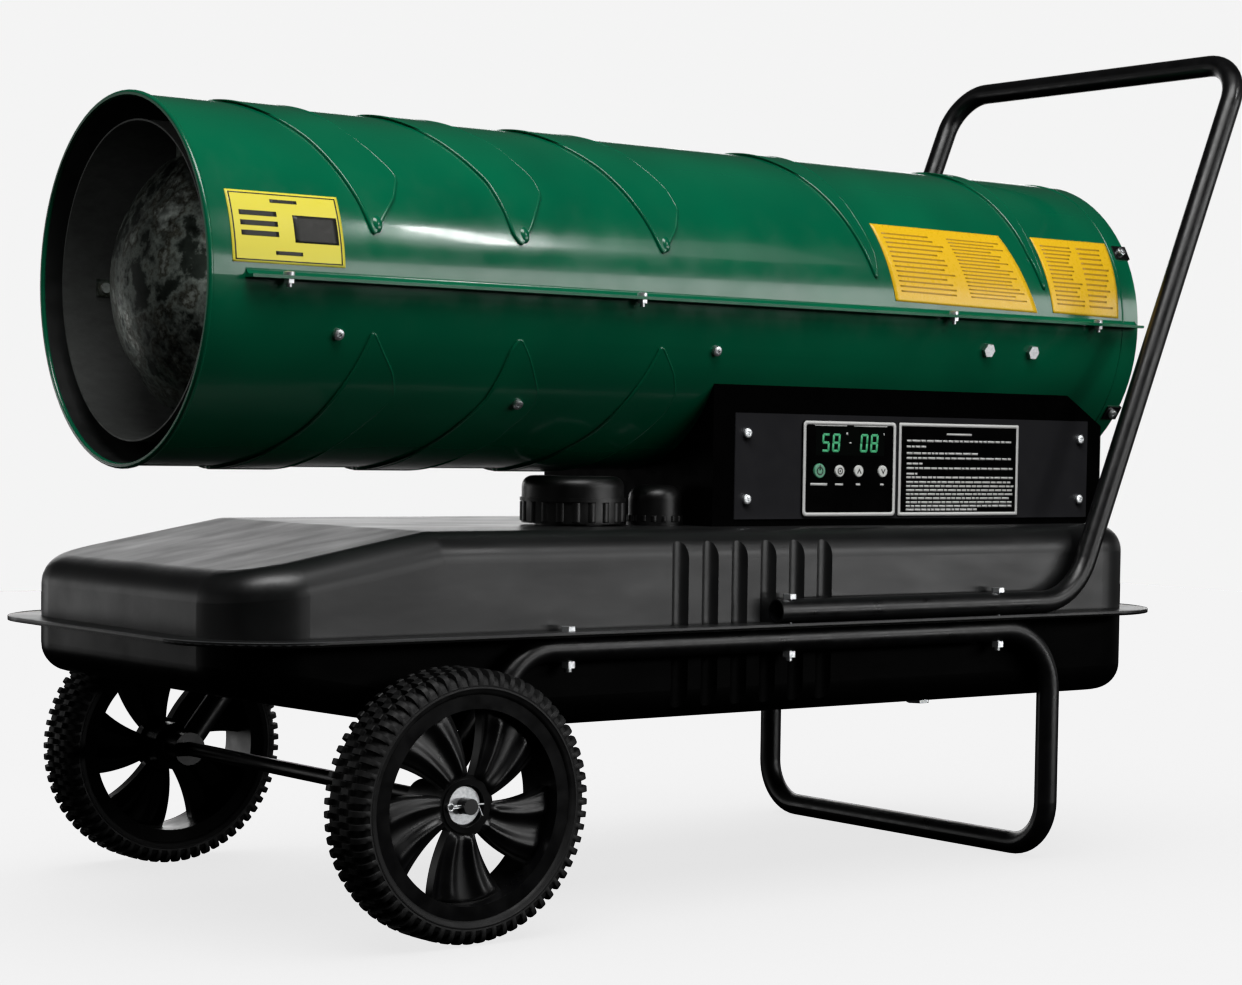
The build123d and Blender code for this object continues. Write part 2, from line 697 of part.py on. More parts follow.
# One swept spoke, seen from outside along the axle; it turns back by 12 degrees on its way out
SPOKE_MID_R = (HUB_D / 2 + RIM_R) / 2
with BuildSketch() as spoke:
    with BuildLine():
        lead = ThreePointArc(polar(HUB_D / 2 - 2, 31), polar(SPOKE_MID_R, 20), polar(SPOKE_TIP_R, 12.5))
        tail = ThreePointArc(polar(HUB_D / 2 - 2, -31), polar(SPOKE_MID_R, -31), polar(SPOKE_TIP_R, -36.5))
        Line(lead @ 0, tail @ 0)
        ThreePointArc(lead @ 1, polar(SPOKE_TIP_R, -12), tail @ 1)
    make_face()


def make_rim(side):
    """Moulded wheel: rim channel, hub and five swept spokes."""
    with BuildPart() as rim:
        with BuildSketch(wheel_section(side)):
            with Locations((0, RIM_R - RIM_WALL / 2)):
                Rectangle(RIM_W, RIM_WALL)
            for lip in BOTH_SIDES:
                with Locations((lip * (RIM_W - 3) / 2, RIM_R - RIM_WALL / 2 + RIM_LIP / 2)):
                    Rectangle(3, RIM_WALL + RIM_LIP)
        revolve(axis=AXLE_AXIS)
        disc(wheel_face(side, HUB_OUTER_Y), HUB_D / 2, HUB_LENGTH)
        disc(wheel_face(side, HUB_OUTER_Y + HUB_RING_H), HUB_D / 2, HUB_RING_H, bore=HUB_RING_D / 2)
        with BuildSketch(wheel_face(side, WHEEL_Y + RIM_W / 2 - SPOKE_SET)):
            Circle(HUB_D / 2 + SPOKE_ROOT)
            Circle(HUB_RING_D / 2, mode=Mode.SUBTRACT)
            with PolarLocations(0, SPOKE_COUNT, start_angle=SPOKE_TURN[side]):
                add(spoke.sketch)
            Circle(HUB_RING_D / 2, mode=Mode.SUBTRACT)
        extrude(amount=SPOKE_T)
        disc(
            across(AXLE_X, side * WHEEL_Y - TYRE_W, AXLE_Z),
            AXLE_D / 2 + RUNNING_GAP,
            2 * TYRE_W,
            mode=Mode.SUBTRACT,
        )
    return rim


def make_tyre(side):
    """Tyre ring seated between the rim's lips, with rounded shoulders."""
    half_seat = RIM_W / 2 - 3
    half_rim = RIM_W / 2
    half = TYRE_W / 2
    with BuildPart() as tyre:
        with BuildSketch(wheel_section(side)):
            with BuildLine():
                Polyline(
                    (-half_seat, RIM_R),
                    (-half_seat, RIM_R + RIM_LIP),
                    (-half_rim, RIM_R + RIM_LIP),
                    (-half, RIM_R + TYRE_DEPTH * 0.4),
                    (-half, WHEEL_R - 7),
                    (-half + 3, WHEEL_R - 1.5),
                    (-half + 9, WHEEL_R),
                    (half - 9, WHEEL_R),
                    (half - 3, WHEEL_R - 1.5),
                    (half, WHEEL_R - 7),
                    (half, RIM_R + TYRE_DEPTH * 0.4),
                    (half_rim, RIM_R + RIM_LIP),
                    (half_seat, RIM_R + RIM_LIP),
                    (half_seat, RIM_R),
                    close=True,
                )
            make_face()
        revolve(axis=AXLE_AXIS)
    return tyre


wheel_rim_left, wheel_rim_right = (make_rim(side) for side in BOTH_SIDES)
tyre_left, tyre_right = (make_tyre(side) for side in BOTH_SIDES)

# ---------------------------------------------------------------- barrel shells

RIB_SCREWS = both_flanks([(BARREL_FRONT + RIB_SCREW_BACK, RIB_SCREW_ANGLE)])
SHIELD_SCREWS = both_flanks([(x, SHIELD_SCREW_ANGLE) for x in SHIELD_SCREWS_X]) + RIB_SCREWS
MOTOR_BOLTS = both_flanks([(x, MOTOR_BOLT_ANGLE) for x in HEX_BOLTS_X])
EAR_X = BARREL_REAR - EAR_LENGTH / 2
EAR_SCREWS = [(EAR_X, angle) for angle in GUARD_EARS]
SMALL_SCREWS = SHIELD_SCREWS + EAR_SCREWS


def pressed_ribs(outlines, up):
    """Curved ribs that stand out of the barrel sheet on both flanks, above or below the seam."""
    with BuildPart() as ribs:
        with BuildSketch(Plane((0, 0, BARREL_Z), x_dir=(1, 0, 0), z_dir=(0, -1, 0))):
            for outline in outlines:
                with BuildLine():
                    Polyline(
                        *[
                            (x, up * (BARREL_R + RIB_PROUD) * math.sin(math.radians(angle)))
                            for x, angle in outline
                        ],
                        close=True,
                    )
                make_face()
        extrude(amount=BARREL_D, both=True)
        disc(
            station(BARREL_FRONT),
            BARREL_R + RIB_PROUD,
            BARREL_LENGTH,
            bore=BARREL_R - SHEET / 2,
            mode=Mode.INTERSECT,
        )
    return ribs.part


def shell_half(keep, seam_z, ribs):
    """Half of the barrel with a curled outlet rim and the seam flange on both sides."""
    middle = (BARREL_FRONT + BARREL_REAR) / 2
    with BuildPart() as shell:
        with BuildSketch(Plane((0, 0, BARREL_Z), x_dir=(1, 0, 0), z_dir=(0, -1, 0))):
            with Locations((middle, BARREL_R - SHEET / 2)):
                Rectangle(BARREL_LENGTH, SHEET)
            with Locations((BARREL_FRONT + RIM_BEAD_D / 2, BARREL_R + 0.3)):
                Circle(RIM_BEAD_D / 2)
            with Locations((BARREL_REAR - EAR_LENGTH - RIM_BEAD_D, BARREL_R - 0.3)):
                Circle(RIM_BEAD_D / 4)
        revolve(axis=BARREL_AXIS)
        split(bisect_by=Plane.XY.offset(BARREL_Z), keep=keep)
        add(ribs)
        length = BARREL_LENGTH - SEAM_FRONT - SEAM_REAR
        with BuildSketch(Plane.XY.offset(seam_z)):
            for side in BOTH_SIDES:
                with Locations(
                    (
                        BARREL_FRONT + SEAM_FRONT + length / 2,
                        side * (BARREL_R - SHEET / 2 + SEAM_FLANGE / 2),
                    )
                ):
                    Rectangle(length, SEAM_FLANGE + SHEET)
        extrude(amount=SHEET)
        with BuildSketch(Plane.XY.offset(BARREL_Z - 2 * SHEET)):
            for side in BOTH_SIDES:
                with Locations(*[(x, side * SEAM_SCREW_Y) for x in SEAM_SCREWS_X]):
                    Circle(SCREW_D / 2 + HOLE_GAP)
        extrude(amount=4 * SHEET, mode=Mode.SUBTRACT)
        for places, size in ((SMALL_SCREWS, SCREW_D), (MOTOR_BOLTS, HEX_BOLT_D)):
            for x, angle in places:
                disc(
                    around_barrel(x, angle, BARREL_R - 2 * SHEET),
                    size / 2 + HOLE_GAP,
                    4 * SHEET,
                    mode=Mode.SUBTRACT,
                )
        disc(
            Plane((PICKUP_X, PICKUP_Y, BARREL_Z - BARREL_R - SHEET)),
            LINE_D / 2 + HOLE_GAP,
            4 * SHEET,
            mode=Mode.SUBTRACT,
        )
    return shell


SEAM_SCREW_Y = BARREL_R + SEAM_FLANGE / 2 + 1
upper_shell = shell_half(Keep.TOP, BARREL_Z, pressed_ribs(WIDE_RIBS + NARROW_RIBS, 1))
lower_shell = shell_half(Keep.BOTTOM, BARREL_Z - SHEET, pressed_ribs(WIDE_RIBS, -1))

with BuildPart() as shell_screws:
    for x in SEAM_SCREWS_X:
        for side in BOTH_SIDES:
            disc(
                Plane((x, side * SEAM_SCREW_Y, BARREL_Z + SHEET)),
                SCREW_HEAD_D / 2,
                SCREW_HEAD_T,
            )
            disc(Plane((x, side * SEAM_SCREW_Y, BARREL_Z - 7)), SCREW_D / 2, 7 + SHEET)

with BuildPart() as shell_nuts:
    for x in SEAM_SCREWS_X:
        for side in BOTH_SIDES:
            hexagon(Plane((x, side * SEAM_SCREW_Y, BARREL_Z - SHEET - 3)), 7, 3)
            disc(
                Plane((x, side * SEAM_SCREW_Y, BARREL_Z - SHEET - 3)),
                SCREW_D / 2 + HOLE_GAP,
                3,
                mode=Mode.SUBTRACT,
            )

# Screws on the barrel's flanks: shield and guard screws, and the motor's hex bolts
with BuildPart() as casing_screws:
    for x, angle in SHIELD_SCREWS:
        seat = BARREL_R + RIB_PROUD if (x, angle) in RIB_SCREWS else BARREL_R
        disc(around_barrel(x, angle, seat), SCREW_HEAD_D / 2, SCREW_HEAD_T)
        disc(around_barrel(x, angle, BARREL_R - SCREW_GRIP), SCREW_D / 2, SCREW_GRIP + seat - BARREL_R)
    for x, angle in EAR_SCREWS:
        disc(around_barrel(x, angle, BARREL_R + EAR_T), SCREW_HEAD_D / 2, SCREW_HEAD_T)
        disc(
            around_barrel(x, angle, BARREL_R - 2 * SHEET),
            SCREW_D / 2,
            2 * SHEET + EAR_T,
        )
    for x, angle in MOTOR_BOLTS:
        hexagon(around_barrel(x, angle, BARREL_R), HEX_HEAD_D, HEX_HEAD_T)
        disc(around_barrel(x, angle, BARREL_R - 9), HEX_BOLT_D / 2, 9)

# ---------------------------------------------------------------- burner

DOME_R = DOME_D / 2
DOME_SPHERE = (DOME_R**2 + DOME_BULGE**2) / (2 * DOME_BULGE)
DOME_APEX = DOME_X - DOME_BULGE
DOME_HALFWAY = DOME_APEX + DOME_SPHERE * (1 - math.cos(math.asin(DOME_R / 2 / DOME_SPHERE)))
STRAP_TURNS = (0, 90, 180, 270)
STRAP_REACH = SHIELD_R - SHEET - 0.5
DOME_SCREW_X = DOME_X - TAB_W / 2 + TAB_T

# Heat shield: inner tube on small brackets that the flank screws hold
with BuildPart() as heat_shield:
    disc(
        station(SHIELD_FRONT),
        SHIELD_R,
        SHIELD_REAR - SHIELD_FRONT,
        bore=SHIELD_R - SHEET,
    )
    for x, angle in SHIELD_SCREWS:
        with BuildSketch(around_barrel(x, angle, SHIELD_R - SHEET / 2)):
            Rectangle(TAB_W, TAB_W)
        extrude(amount=INNER_R - SHIELD_R)
        disc(
            around_barrel(x, angle, INNER_R - SCREW_GRIP),
            SCREW_D / 2 + HOLE_GAP,
            SCREW_GRIP,
            mode=Mode.SUBTRACT,
        )
    for turn in STRAP_TURNS:
        disc(
            around_barrel(DOME_SCREW_X, turn, SHIELD_R - 3 * SHEET),
            SCREW_D / 2 + HOLE_GAP,
            4 * SHEET,
            mode=Mode.SUBTRACT,
        )

# Combustion chamber: tube with radial tabs that touch the shield
with BuildPart() as combustion_chamber:
    disc(
        station(CHAMBER_FRONT),
        CHAMBER_R,
        BURNER_X - CHAMBER_FRONT,
        bore=CHAMBER_R - 1.5,
    )
    for x in CHAMBER_TABS_X:
        for turn in (90, 210, 330):
            with BuildSketch(around_barrel(x, turn, CHAMBER_R - 1)):
                Rectangle(TAB_T, TAB_W)
            extrude(amount=SHIELD_R - SHEET - CHAMBER_R + 0.6)

# Flame dome: bulged disc on four straps across the chamber's mouth
with BuildPart() as flame_dome:
    with BuildSketch(Plane((0, 0, BARREL_Z), x_dir=(1, 0, 0), z_dir=(0, -1, 0))):
        with BuildLine():
            ThreePointArc((DOME_APEX, 0), (DOME_HALFWAY, DOME_R / 2), (DOME_X, DOME_R))
            Line((DOME_X, DOME_R), (DOME_X + SHEET, DOME_R))
            ThreePointArc(
                (DOME_X + SHEET, DOME_R),
                (DOME_HALFWAY + SHEET, DOME_R / 2),
                (DOME_APEX + SHEET, 0),
            )
            Line((DOME_APEX + SHEET, 0), (DOME_APEX, 0))
        make_face()
    revolve(axis=BARREL_AXIS)
    for turn in STRAP_TURNS:
        with BuildSketch(around_barrel(DOME_X + TAB_T / 2, turn, DOME_R - 6)):
            Rectangle(TAB_T, TAB_W)
        extrude(amount=STRAP_REACH - DOME_R + 6)
        with BuildSketch(around_barrel(DOME_SCREW_X, turn, STRAP_REACH - TAB_T)):
            Rectangle(TAB_W, TAB_W)
        extrude(amount=TAB_T)
        disc(
            around_barrel(DOME_SCREW_X, turn, STRAP_REACH - 3 * TAB_T),
            SCREW_D / 2 + HOLE_GAP,
            4 * TAB_T,
            mode=Mode.SUBTRACT,
        )

with BuildPart() as dome_screws:
    for turn in STRAP_TURNS:
        disc(
            around_barrel(DOME_SCREW_X, turn, STRAP_REACH - TAB_T - SCREW_HEAD_T),
            SCREW_HEAD_D / 2,
            SCREW_HEAD_T,
        )
        disc(around_barrel(DOME_SCREW_X, turn, STRAP_REACH - TAB_T), SCREW_D / 2, SCREW_GRIP + TAB_T)

# Burner head: plate that closes the chamber, with a ring of air holes round the nozzle
with BuildPart() as burner_head:
    disc(station(BURNER_X), CHAMBER_R, 2, bore=HEAD_BORE / 2)
    with BuildSketch(station(BURNER_X)):
        with PolarLocations(CHAMBER_R * 0.8, 16):
            Circle(5)
    extrude(amount=2, mode=Mode.SUBTRACT)
    for offset in BOTH_SIDES:
        with BuildSketch(station(BURNER_X)):
            with Locations((offset * ELECTRODE_OFFSET / 2, ELECTRODE_OFFSET)):
                Circle(ELECTRODE_D / 2 + HOLE_GAP)
        extrude(amount=2, mode=Mode.SUBTRACT)

ADAPTOR_X = BURNER_X + 2
with BuildPart() as fuel_nozzle:
    hexagon(station(ADAPTOR_X - NOZZLE_LENGTH), NOZZLE_D, NOZZLE_LENGTH)

with BuildPart() as nozzle_adaptor:
    disc(station(ADAPTOR_X), ADAPTOR_D / 2 + 5, 3)
    disc(station(ADAPTOR_X), ADAPTOR_D / 2, ADAPTOR_LENGTH)

# Two ignition electrodes: ceramic rods with wire tips above the nozzle
with BuildPart() as electrodes:
    for offset in BOTH_SIDES:
        start = Plane(
            (BURNER_X - ELECTRODE_REACH, offset * ELECTRODE_OFFSET / 2, BARREL_Z + ELECTRODE_OFFSET),
            x_dir=(0, 1, 0),
            z_dir=(1, 0, 0),
        )
        disc(start, ELECTRODE_D / 2, ELECTRODE_LENGTH)
        disc(start.offset(-ELECTRODE_TIP), ELECTRODE_TIP_D / 2, ELECTRODE_TIP + 2)

with BuildPart() as photocell:
    disc(
        Plane((BURNER_X + 2, PHOTOCELL_OFFSET, BARREL_Z), x_dir=(0, 1, 0), z_dir=(1, 0, 0)),
        PHOTOCELL_D / 2,
        PHOTOCELL_LENGTH,
    )

# ---------------------------------------------------------------- fan, motor and pump

SHAFT_FRONT = FAN_X - FAN_HUB_LENGTH / 2
with BuildPart() as fan:
    disc(station(SHAFT_FRONT), FAN_HUB_D / 2, FAN_HUB_LENGTH)
    blade = FAN_D / 2 - FAN_HUB_D / 2 + 3
    with Locations(station(FAN_X)):
        with PolarLocations(FAN_D / 2 - blade / 2, FAN_BLADES):
            Box(blade, FAN_CHORD, 2.5, rotation=(FAN_PITCH, 0, 0))
    disc(station(SHAFT_FRONT), FAN_D / 2 + FAN_HUB_D, FAN_HUB_LENGTH, bore=FAN_D / 2, mode=Mode.SUBTRACT)
    disc(station(SHAFT_FRONT - 1), SHAFT_D / 2 + 0.02, FAN_HUB_LENGTH + 2, mode=Mode.SUBTRACT)

# Motor: hollow can with end walls that carry the shaft
with BuildPart() as motor_body:
    disc(station(MOTOR_FRONT), MOTOR_D / 2, MOTOR_LENGTH)
    fillet(motor_body.edges().filter_by(GeomType.CIRCLE), radius=6)
    disc(
        station(MOTOR_FRONT + MOTOR_WALL),
        MOTOR_D / 2 - MOTOR_WALL,
        MOTOR_LENGTH - 2 * MOTOR_WALL,
        mode=Mode.SUBTRACT,
    )
    disc(station(MOTOR_FRONT), SHAFT_D / 2 + RUNNING_GAP, MOTOR_LENGTH, mode=Mode.SUBTRACT)

PUMP_FLOOR = 5.0
with BuildPart() as motor_shaft:
    disc(station(SHAFT_FRONT), SHAFT_D / 2, PUMP_REAR - PUMP_FLOOR - SHAFT_FRONT)
    disc(
        station(MOTOR_FRONT + MOTOR_WALL + 4),
        MOTOR_D / 2 - MOTOR_WALL - ROTOR_GAP,
        MOTOR_LENGTH - 2 * MOTOR_WALL - 8,
    )

# Motor bracket: a tray under the motor whose ends stand against the shell for the hex bolts
TRAY_Z = BARREL_Z - MOTOR_D / 2 - BRACKET_T
END_HALF = BRACKET_END_H / 2
END_R = math.sqrt(INNER_R**2 - END_HALF**2) - 0.2
tilt = math.radians(MOTOR_BOLT_ANGLE)
TRAY_HALF = (END_R - BRACKET_T) * math.cos(tilt) + END_HALF * math.sin(tilt) + BRACKET_T / 2
with BuildPart() as motor_bracket:
    with BuildSketch(Plane.XY.offset(TRAY_Z)):
        with Locations((BRACKET_X, 0)):
            Rectangle(BRACKET_LENGTH, 2 * TRAY_HALF)
    extrude(amount=BRACKET_T)
    with BuildSketch(Plane.XY.offset(TRAY_Z)):
        with Locations((BRACKET_X, 0)):
            Rectangle(SADDLE_LENGTH, SADDLE_W)
    extrude(amount=SADDLE_H)
    disc(station(MOTOR_FRONT), MOTOR_D / 2, MOTOR_LENGTH, mode=Mode.SUBTRACT)
    for angle in (MOTOR_BOLT_ANGLE, 180 - MOTOR_BOLT_ANGLE):
        with BuildSketch(around_barrel(BRACKET_X, angle, END_R - BRACKET_T)):
            Rectangle(BRACKET_LENGTH, BRACKET_END_H)
        extrude(amount=BRACKET_T)
    for x, angle in MOTOR_BOLTS:
        disc(
            around_barrel(x, angle, END_R - 2 * BRACKET_T),
            HEX_BOLT_D / 2 + HOLE_GAP,
            4 * BRACKET_T,
            mode=Mode.SUBTRACT,
        )

# Rotary vane pump on the motor's back: ring housing, rotor and a ported cover
with BuildPart() as pump_body:
    disc(station(MOTOR_REAR), PUMP_D / 2, PUMP_LENGTH)
    with BuildSketch(station(MOTOR_REAR + PUMP_FLOOR)):
        with Locations((PUMP_ECCENTRIC, 0)):
            Circle(PUMP_RING_D / 2)
    extrude(amount=PUMP_LENGTH, mode=Mode.SUBTRACT)
    disc(station(MOTOR_REAR), SHAFT_D / 2 + RUNNING_GAP, PUMP_FLOOR, mode=Mode.SUBTRACT)

with BuildPart() as pump_rotor:
    disc(
        station(MOTOR_REAR + PUMP_FLOOR + SIDE_GAP),
        PUMP_ROTOR_D / 2,
        PUMP_LENGTH - PUMP_FLOOR - 2 * SIDE_GAP,
        bore=SHAFT_D / 2 + 0.02,
    )

with BuildPart() as pump_cover:
    disc(station(PUMP_REAR), PUMP_D / 2, PUMP_COVER_T)
    fillet(pump_cover.edges().group_by(Axis.X)[-1], radius=3)

with BuildPart() as pressure_gauge:
    face = Plane((COVER_REAR, 18, BARREL_Z + 14), x_dir=(0, 1, 0), z_dir=(1, 0, 0))
    disc(face, GAUGE_FACE_D / 2, GAUGE_FACE_T)
    chamfer(pressure_gauge.edges().group_by(Axis.X)[-1], length=1.5)


def thin_line(points, bend):
    """Thin tube along straight runs and bends of one radius."""
    with BuildPart() as line:
        with BuildLine() as path:
            FilletPolyline(*points, radius=bend)
        with BuildSketch(Plane(path.line @ 0, z_dir=path.line % 0)):
            Circle(LINE_D / 2)
            Circle(LINE_D / 2 - LINE_WALL, mode=Mode.SUBTRACT)
        sweep()
    return line


# Air line: from the pump's underside forward under the fan and up to the nozzle adaptor
ADAPTOR_MID = ADAPTOR_X + ADAPTOR_LENGTH / 2
PUMP_MID = MOTOR_REAR + PUMP_LENGTH / 2
air_line = thin_line(
    [
        (PUMP_MID, 0, BARREL_Z - PUMP_D / 2),
        (PUMP_MID, 0, BARREL_Z - LINE_DROP),
        (ADAPTOR_MID, 0, BARREL_Z - LINE_DROP),
        (ADAPTOR_MID, 0, BARREL_Z - ADAPTOR_D / 2),
    ],
    AIR_BEND,
)
# Fuel line: from the pickup straight up into the barrel, then forward into the adaptor's back
fuel_line = thin_line(
    [
        (PICKUP_X, PICKUP_Y, TANK_TOP + PICKUP_COLLAR),
        (PICKUP_X, PICKUP_Y, BARREL_Z),
        (ADAPTOR_X + ADAPTOR_LENGTH, PICKUP_Y, BARREL_Z),
    ],
    FUEL_BEND,
)

# ---------------------------------------------------------------- rear guard

GUARD_X = BARREL_REAR - GUARD_INSET
GUARD_R = INNER_R - GUARD_WIRE / 2 - 0.1
with BuildPart() as rear_guard:
    with BuildSketch(Plane((0, 0, BARREL_Z), x_dir=(1, 0, 0), z_dir=(0, -1, 0))):
        for ring in range(1, GUARD_RINGS + 1):
            with Locations((GUARD_X, GUARD_R * ring / GUARD_RINGS)):
                Circle(GUARD_WIRE / 2)
    revolve(axis=BARREL_AXIS)
    wire_start = GUARD_R / GUARD_RINGS - GUARD_WIRE / 2
    for wire in range(GUARD_SPOKES):
        turn = 360 / GUARD_SPOKES * wire + 12
        disc(
            around_barrel(GUARD_X - 0.7 * GUARD_WIRE, turn, wire_start),
            GUARD_WIRE / 2,
            GUARD_R - wire_start,
        )
    for angle in GUARD_EARS:
        with BuildSketch(around_barrel(EAR_X + 1, angle, BARREL_R + 0.3)):
            Rectangle(EAR_LENGTH + 2, EAR_W)
        extrude(amount=EAR_T - 0.3)
        with BuildSketch(around_barrel(BARREL_REAR + 1, angle, GUARD_R - 1)):
            Rectangle(2, EAR_W)
        extrude(amount=BARREL_R + EAR_T - GUARD_R + 1)
    for x, angle in EAR_SCREWS:
        disc(
            around_barrel(x, angle, BARREL_R - 1),
            SCREW_D / 2 + HOLE_GAP,
            4 * EAR_T,
            mode=Mode.SUBTRACT,
        )

# ---------------------------------------------------------------- control box


def side_outline(inset):
    """Side view of the control box, with its slanted upper rear corner."""
    run, fall = BOX_REAR_CHAMFER
    with BuildSketch(Plane.XZ) as outline:
        with BuildLine():
            Polyline(
                (BOX_FRONT + inset, TANK_TOP + inset),
                (BOX_REAR - inset, TANK_TOP + inset),
                (BOX_REAR - inset, BOX_TOP - fall - inset),
                (BOX_REAR - run, BOX_TOP - inset),
                (BOX_FRONT + inset, BOX_TOP - inset),
                close=True,
            )
        make_face()
    return outline.sketch


def plate(x_range, z_range, back_y, thickness, mode=Mode.ADD):
    """Flat plate that faces -Y, its back on back_y."""
    with BuildSketch(across(0, back_y, 0)) as profile:
        with Locations((sum(x_range) / 2, -sum(z_range) / 2)):
            Rectangle(x_range[1] - x_range[0], z_range[1] - z_range[0])
    extrude(profile.sketch, amount=-thickness, mode=mode)


def shrunk(span, inset):
    """Range with both ends moved inward."""
    return (span[0] + inset, span[1] - inset)


PANEL_HOLES = [
    (x, z)
    for x in shrunk(PANEL_X, PANEL_SCREW_INSET[0])
    for z in shrunk(PANEL_Z, PANEL_SCREW_INSET[1])
]

with BuildPart() as control_box:
    extrude(side_outline(0), amount=BOX_HALF_W, both=True)
    extrude(side_outline(SHEET), amount=BOX_HALF_W - SHEET, both=True, mode=Mode.SUBTRACT)
    disc(
        station(BOX_FRONT - 1),
        BARREL_R + 0.1,
        BOX_REAR - BOX_FRONT + 2,
        mode=Mode.SUBTRACT,
    )
    plate(
        shrunk(PANEL_X, WINDOW_INSET[0]),
        shrunk(PANEL_Z, WINDOW_INSET[1]),
        -BOX_HALF_W + 2 * SHEET,
        4 * SHEET,
        mode=Mode.SUBTRACT,
    )
    for x, z in PANEL_HOLES:
        disc(
            across(x, -BOX_HALF_W - SHEET, z),
            SCREW_D / 2 + HOLE_GAP,
            4 * SHEET,
            mode=Mode.SUBTRACT,
        )
    disc(
        Plane((PICKUP_X, PICKUP_Y, TANK_TOP - 1)),
        PICKUP_D + 3,
        3 * SHEET,
        mode=Mode.SUBTRACT,
    )
    with BuildSketch(station(BOX_REAR - 2 * SHEET)):
        with Locations((INLET_Y, INLET_Z - BARREL_Z)):
            Rectangle(INLET_BODY[0] + 1, INLET_BODY[1] + 1)
    extrude(amount=4 * SHEET, mode=Mode.SUBTRACT)


def button_holes(front_y, depth):
    """Round holes for the four buttons, from front_y towards +Y."""
    for x, radius in BUTTONS.values():
        disc(across(x, front_y, BUTTON_ROW_Z), radius + BUTTON_GAP, depth, mode=Mode.SUBTRACT)


with BuildPart() as side_panel:
    plate(PANEL_X, PANEL_Z, -BOX_HALF_W, SHEET)
    plate(
        shrunk(LENS_X, LENS_SEAT),
        shrunk(LENS_Z, LENS_SEAT),
        -BOX_HALF_W + SHEET,
        4 * SHEET,
        mode=Mode.SUBTRACT,
    )
    button_holes(PANEL_Y - 1, 4 * SHEET)
    for x, z in PANEL_HOLES:
        disc(across(x, PANEL_Y - 1, z), SCREW_D / 2 + HOLE_GAP, 4 * SHEET, mode=Mode.SUBTRACT)

with BuildPart() as panel_screws:
    for x, z in PANEL_HOLES:
        disc(across(x, PANEL_Y - SCREW_HEAD_T, z), SCREW_HEAD_D / 2, SCREW_HEAD_T)
        disc(across(x, PANEL_Y, z), SCREW_D / 2, SCREW_GRIP + SHEET)

# Display bezel: frame plate on the panel with a recess for the lens and holes for the buttons
BEZEL_FACE = PANEL_Y - BEZEL_T
with BuildPart() as display_bezel:
    plate(BEZEL_X, BEZEL_Z, PANEL_Y, BEZEL_T)
    fillet(display_bezel.edges().filter_by(Axis.Y), radius=4)
    button_holes(BEZEL_FACE - 1, BEZEL_T + 2)
    plate(
        shrunk(LENS_X, -HOLE_GAP),
        shrunk(LENS_Z, -HOLE_GAP),
        BEZEL_FACE + LENS_T,
        LENS_T,
        mode=Mode.SUBTRACT,
    )
    plate(
        shrunk(LENS_X, LENS_SEAT),
        shrunk(LENS_Z, LENS_SEAT),
        PANEL_Y + BEZEL_T,
        3 * BEZEL_T,
        mode=Mode.SUBTRACT,
    )

with BuildPart() as display_window:
    plate(LENS_X, LENS_Z, BEZEL_FACE + LENS_T, LENS_T)

with BuildPart() as info_plate:
    plate(INFO_X, BEZEL_Z, PANEL_Y, INFO_T)

# Circuit board on posts behind the panel, with a display block and a switch behind each button
BOARD_Z = shrunk(BEZEL_Z, BOARD_INSET)
with BuildPart() as circuit_board:
    plate(BEZEL_X, BOARD_Z, BOARD_Y + BOARD_T, BOARD_T)
    plate(LENS_X, (LENS_Z[0], BOARD_Z[1] - LENS_SEAT), BOARD_Y, BOARD_GAP - 1)
    for x, _ in BUTTONS.values():
        disc(across(x, BOARD_Y - SWITCH_H, BUTTON_ROW_Z), SWITCH_D / 2, SWITCH_H)
    for x in shrunk(BEZEL_X, POST_D):
        for z in shrunk(BOARD_Z, POST_D):
            disc(across(x, -BOX_HALF_W, z), POST_D / 2, BOARD_Y + BOX_HALF_W)


def make_button(name):
    """Push button: cap in the bezel hole with a collar behind the panel that the switch backs."""
    x, radius = BUTTONS[name]
    back = BOARD_Y - SWITCH_H - BUTTON_TRAVEL - BUTTON_GAP
    with BuildPart() as button:
        disc(
            across(x, BEZEL_FACE - BUTTON_PROUD, BUTTON_ROW_Z),
            radius,
            back - BEZEL_FACE + BUTTON_PROUD,
        )
        fillet(button.edges().group_by(Axis.Y)[0], radius=1)
    return button


button_power, button_set, button_up, button_down = (make_button(name) for name in BUTTONS)

with BuildPart() as ignition_transformer:
    with BuildSketch(Plane.XY.offset(TANK_TOP + SHEET)):
        with Locations(TRANSFORMER_AT):
            rounded(TRANSFORMER[0], TRANSFORMER[1], 4)
    extrude(amount=TRANSFORMER[2])

# Power inlet: socket in the box's rear wall with three pins in its recess
INLET_AT = (INLET_Y, INLET_Z - BARREL_Z)
with BuildPart() as power_inlet:
    with BuildSketch(station(BOX_REAR)):
        with Locations(INLET_AT):
            rounded(*INLET_FLANGE, 5)
    extrude(amount=INLET_FACE)
    with BuildSketch(station(BOX_REAR)):
        with Locations(INLET_AT):
            Rectangle(*INLET_BODY)
    extrude(amount=-INLET_DEPTH)
    with BuildSketch(station(BOX_REAR + INLET_FACE)):
        with Locations(INLET_AT):
            rounded(INLET_BODY[0] - 4, INLET_BODY[1] - 4, 3)
    extrude(amount=-INLET_RECESS, mode=Mode.SUBTRACT)
    with BuildSketch(station(BOX_REAR + INLET_FACE - INLET_RECESS - 1)):
        for y, z in ((-7, -2), (0, 3), (7, -2)):
            with Locations((INLET_Y + y, INLET_AT[1] + z)):
                Rectangle(2, 5)
    extrude(amount=INLET_PIN)

# ---------------------------------------------------------------- labels and files

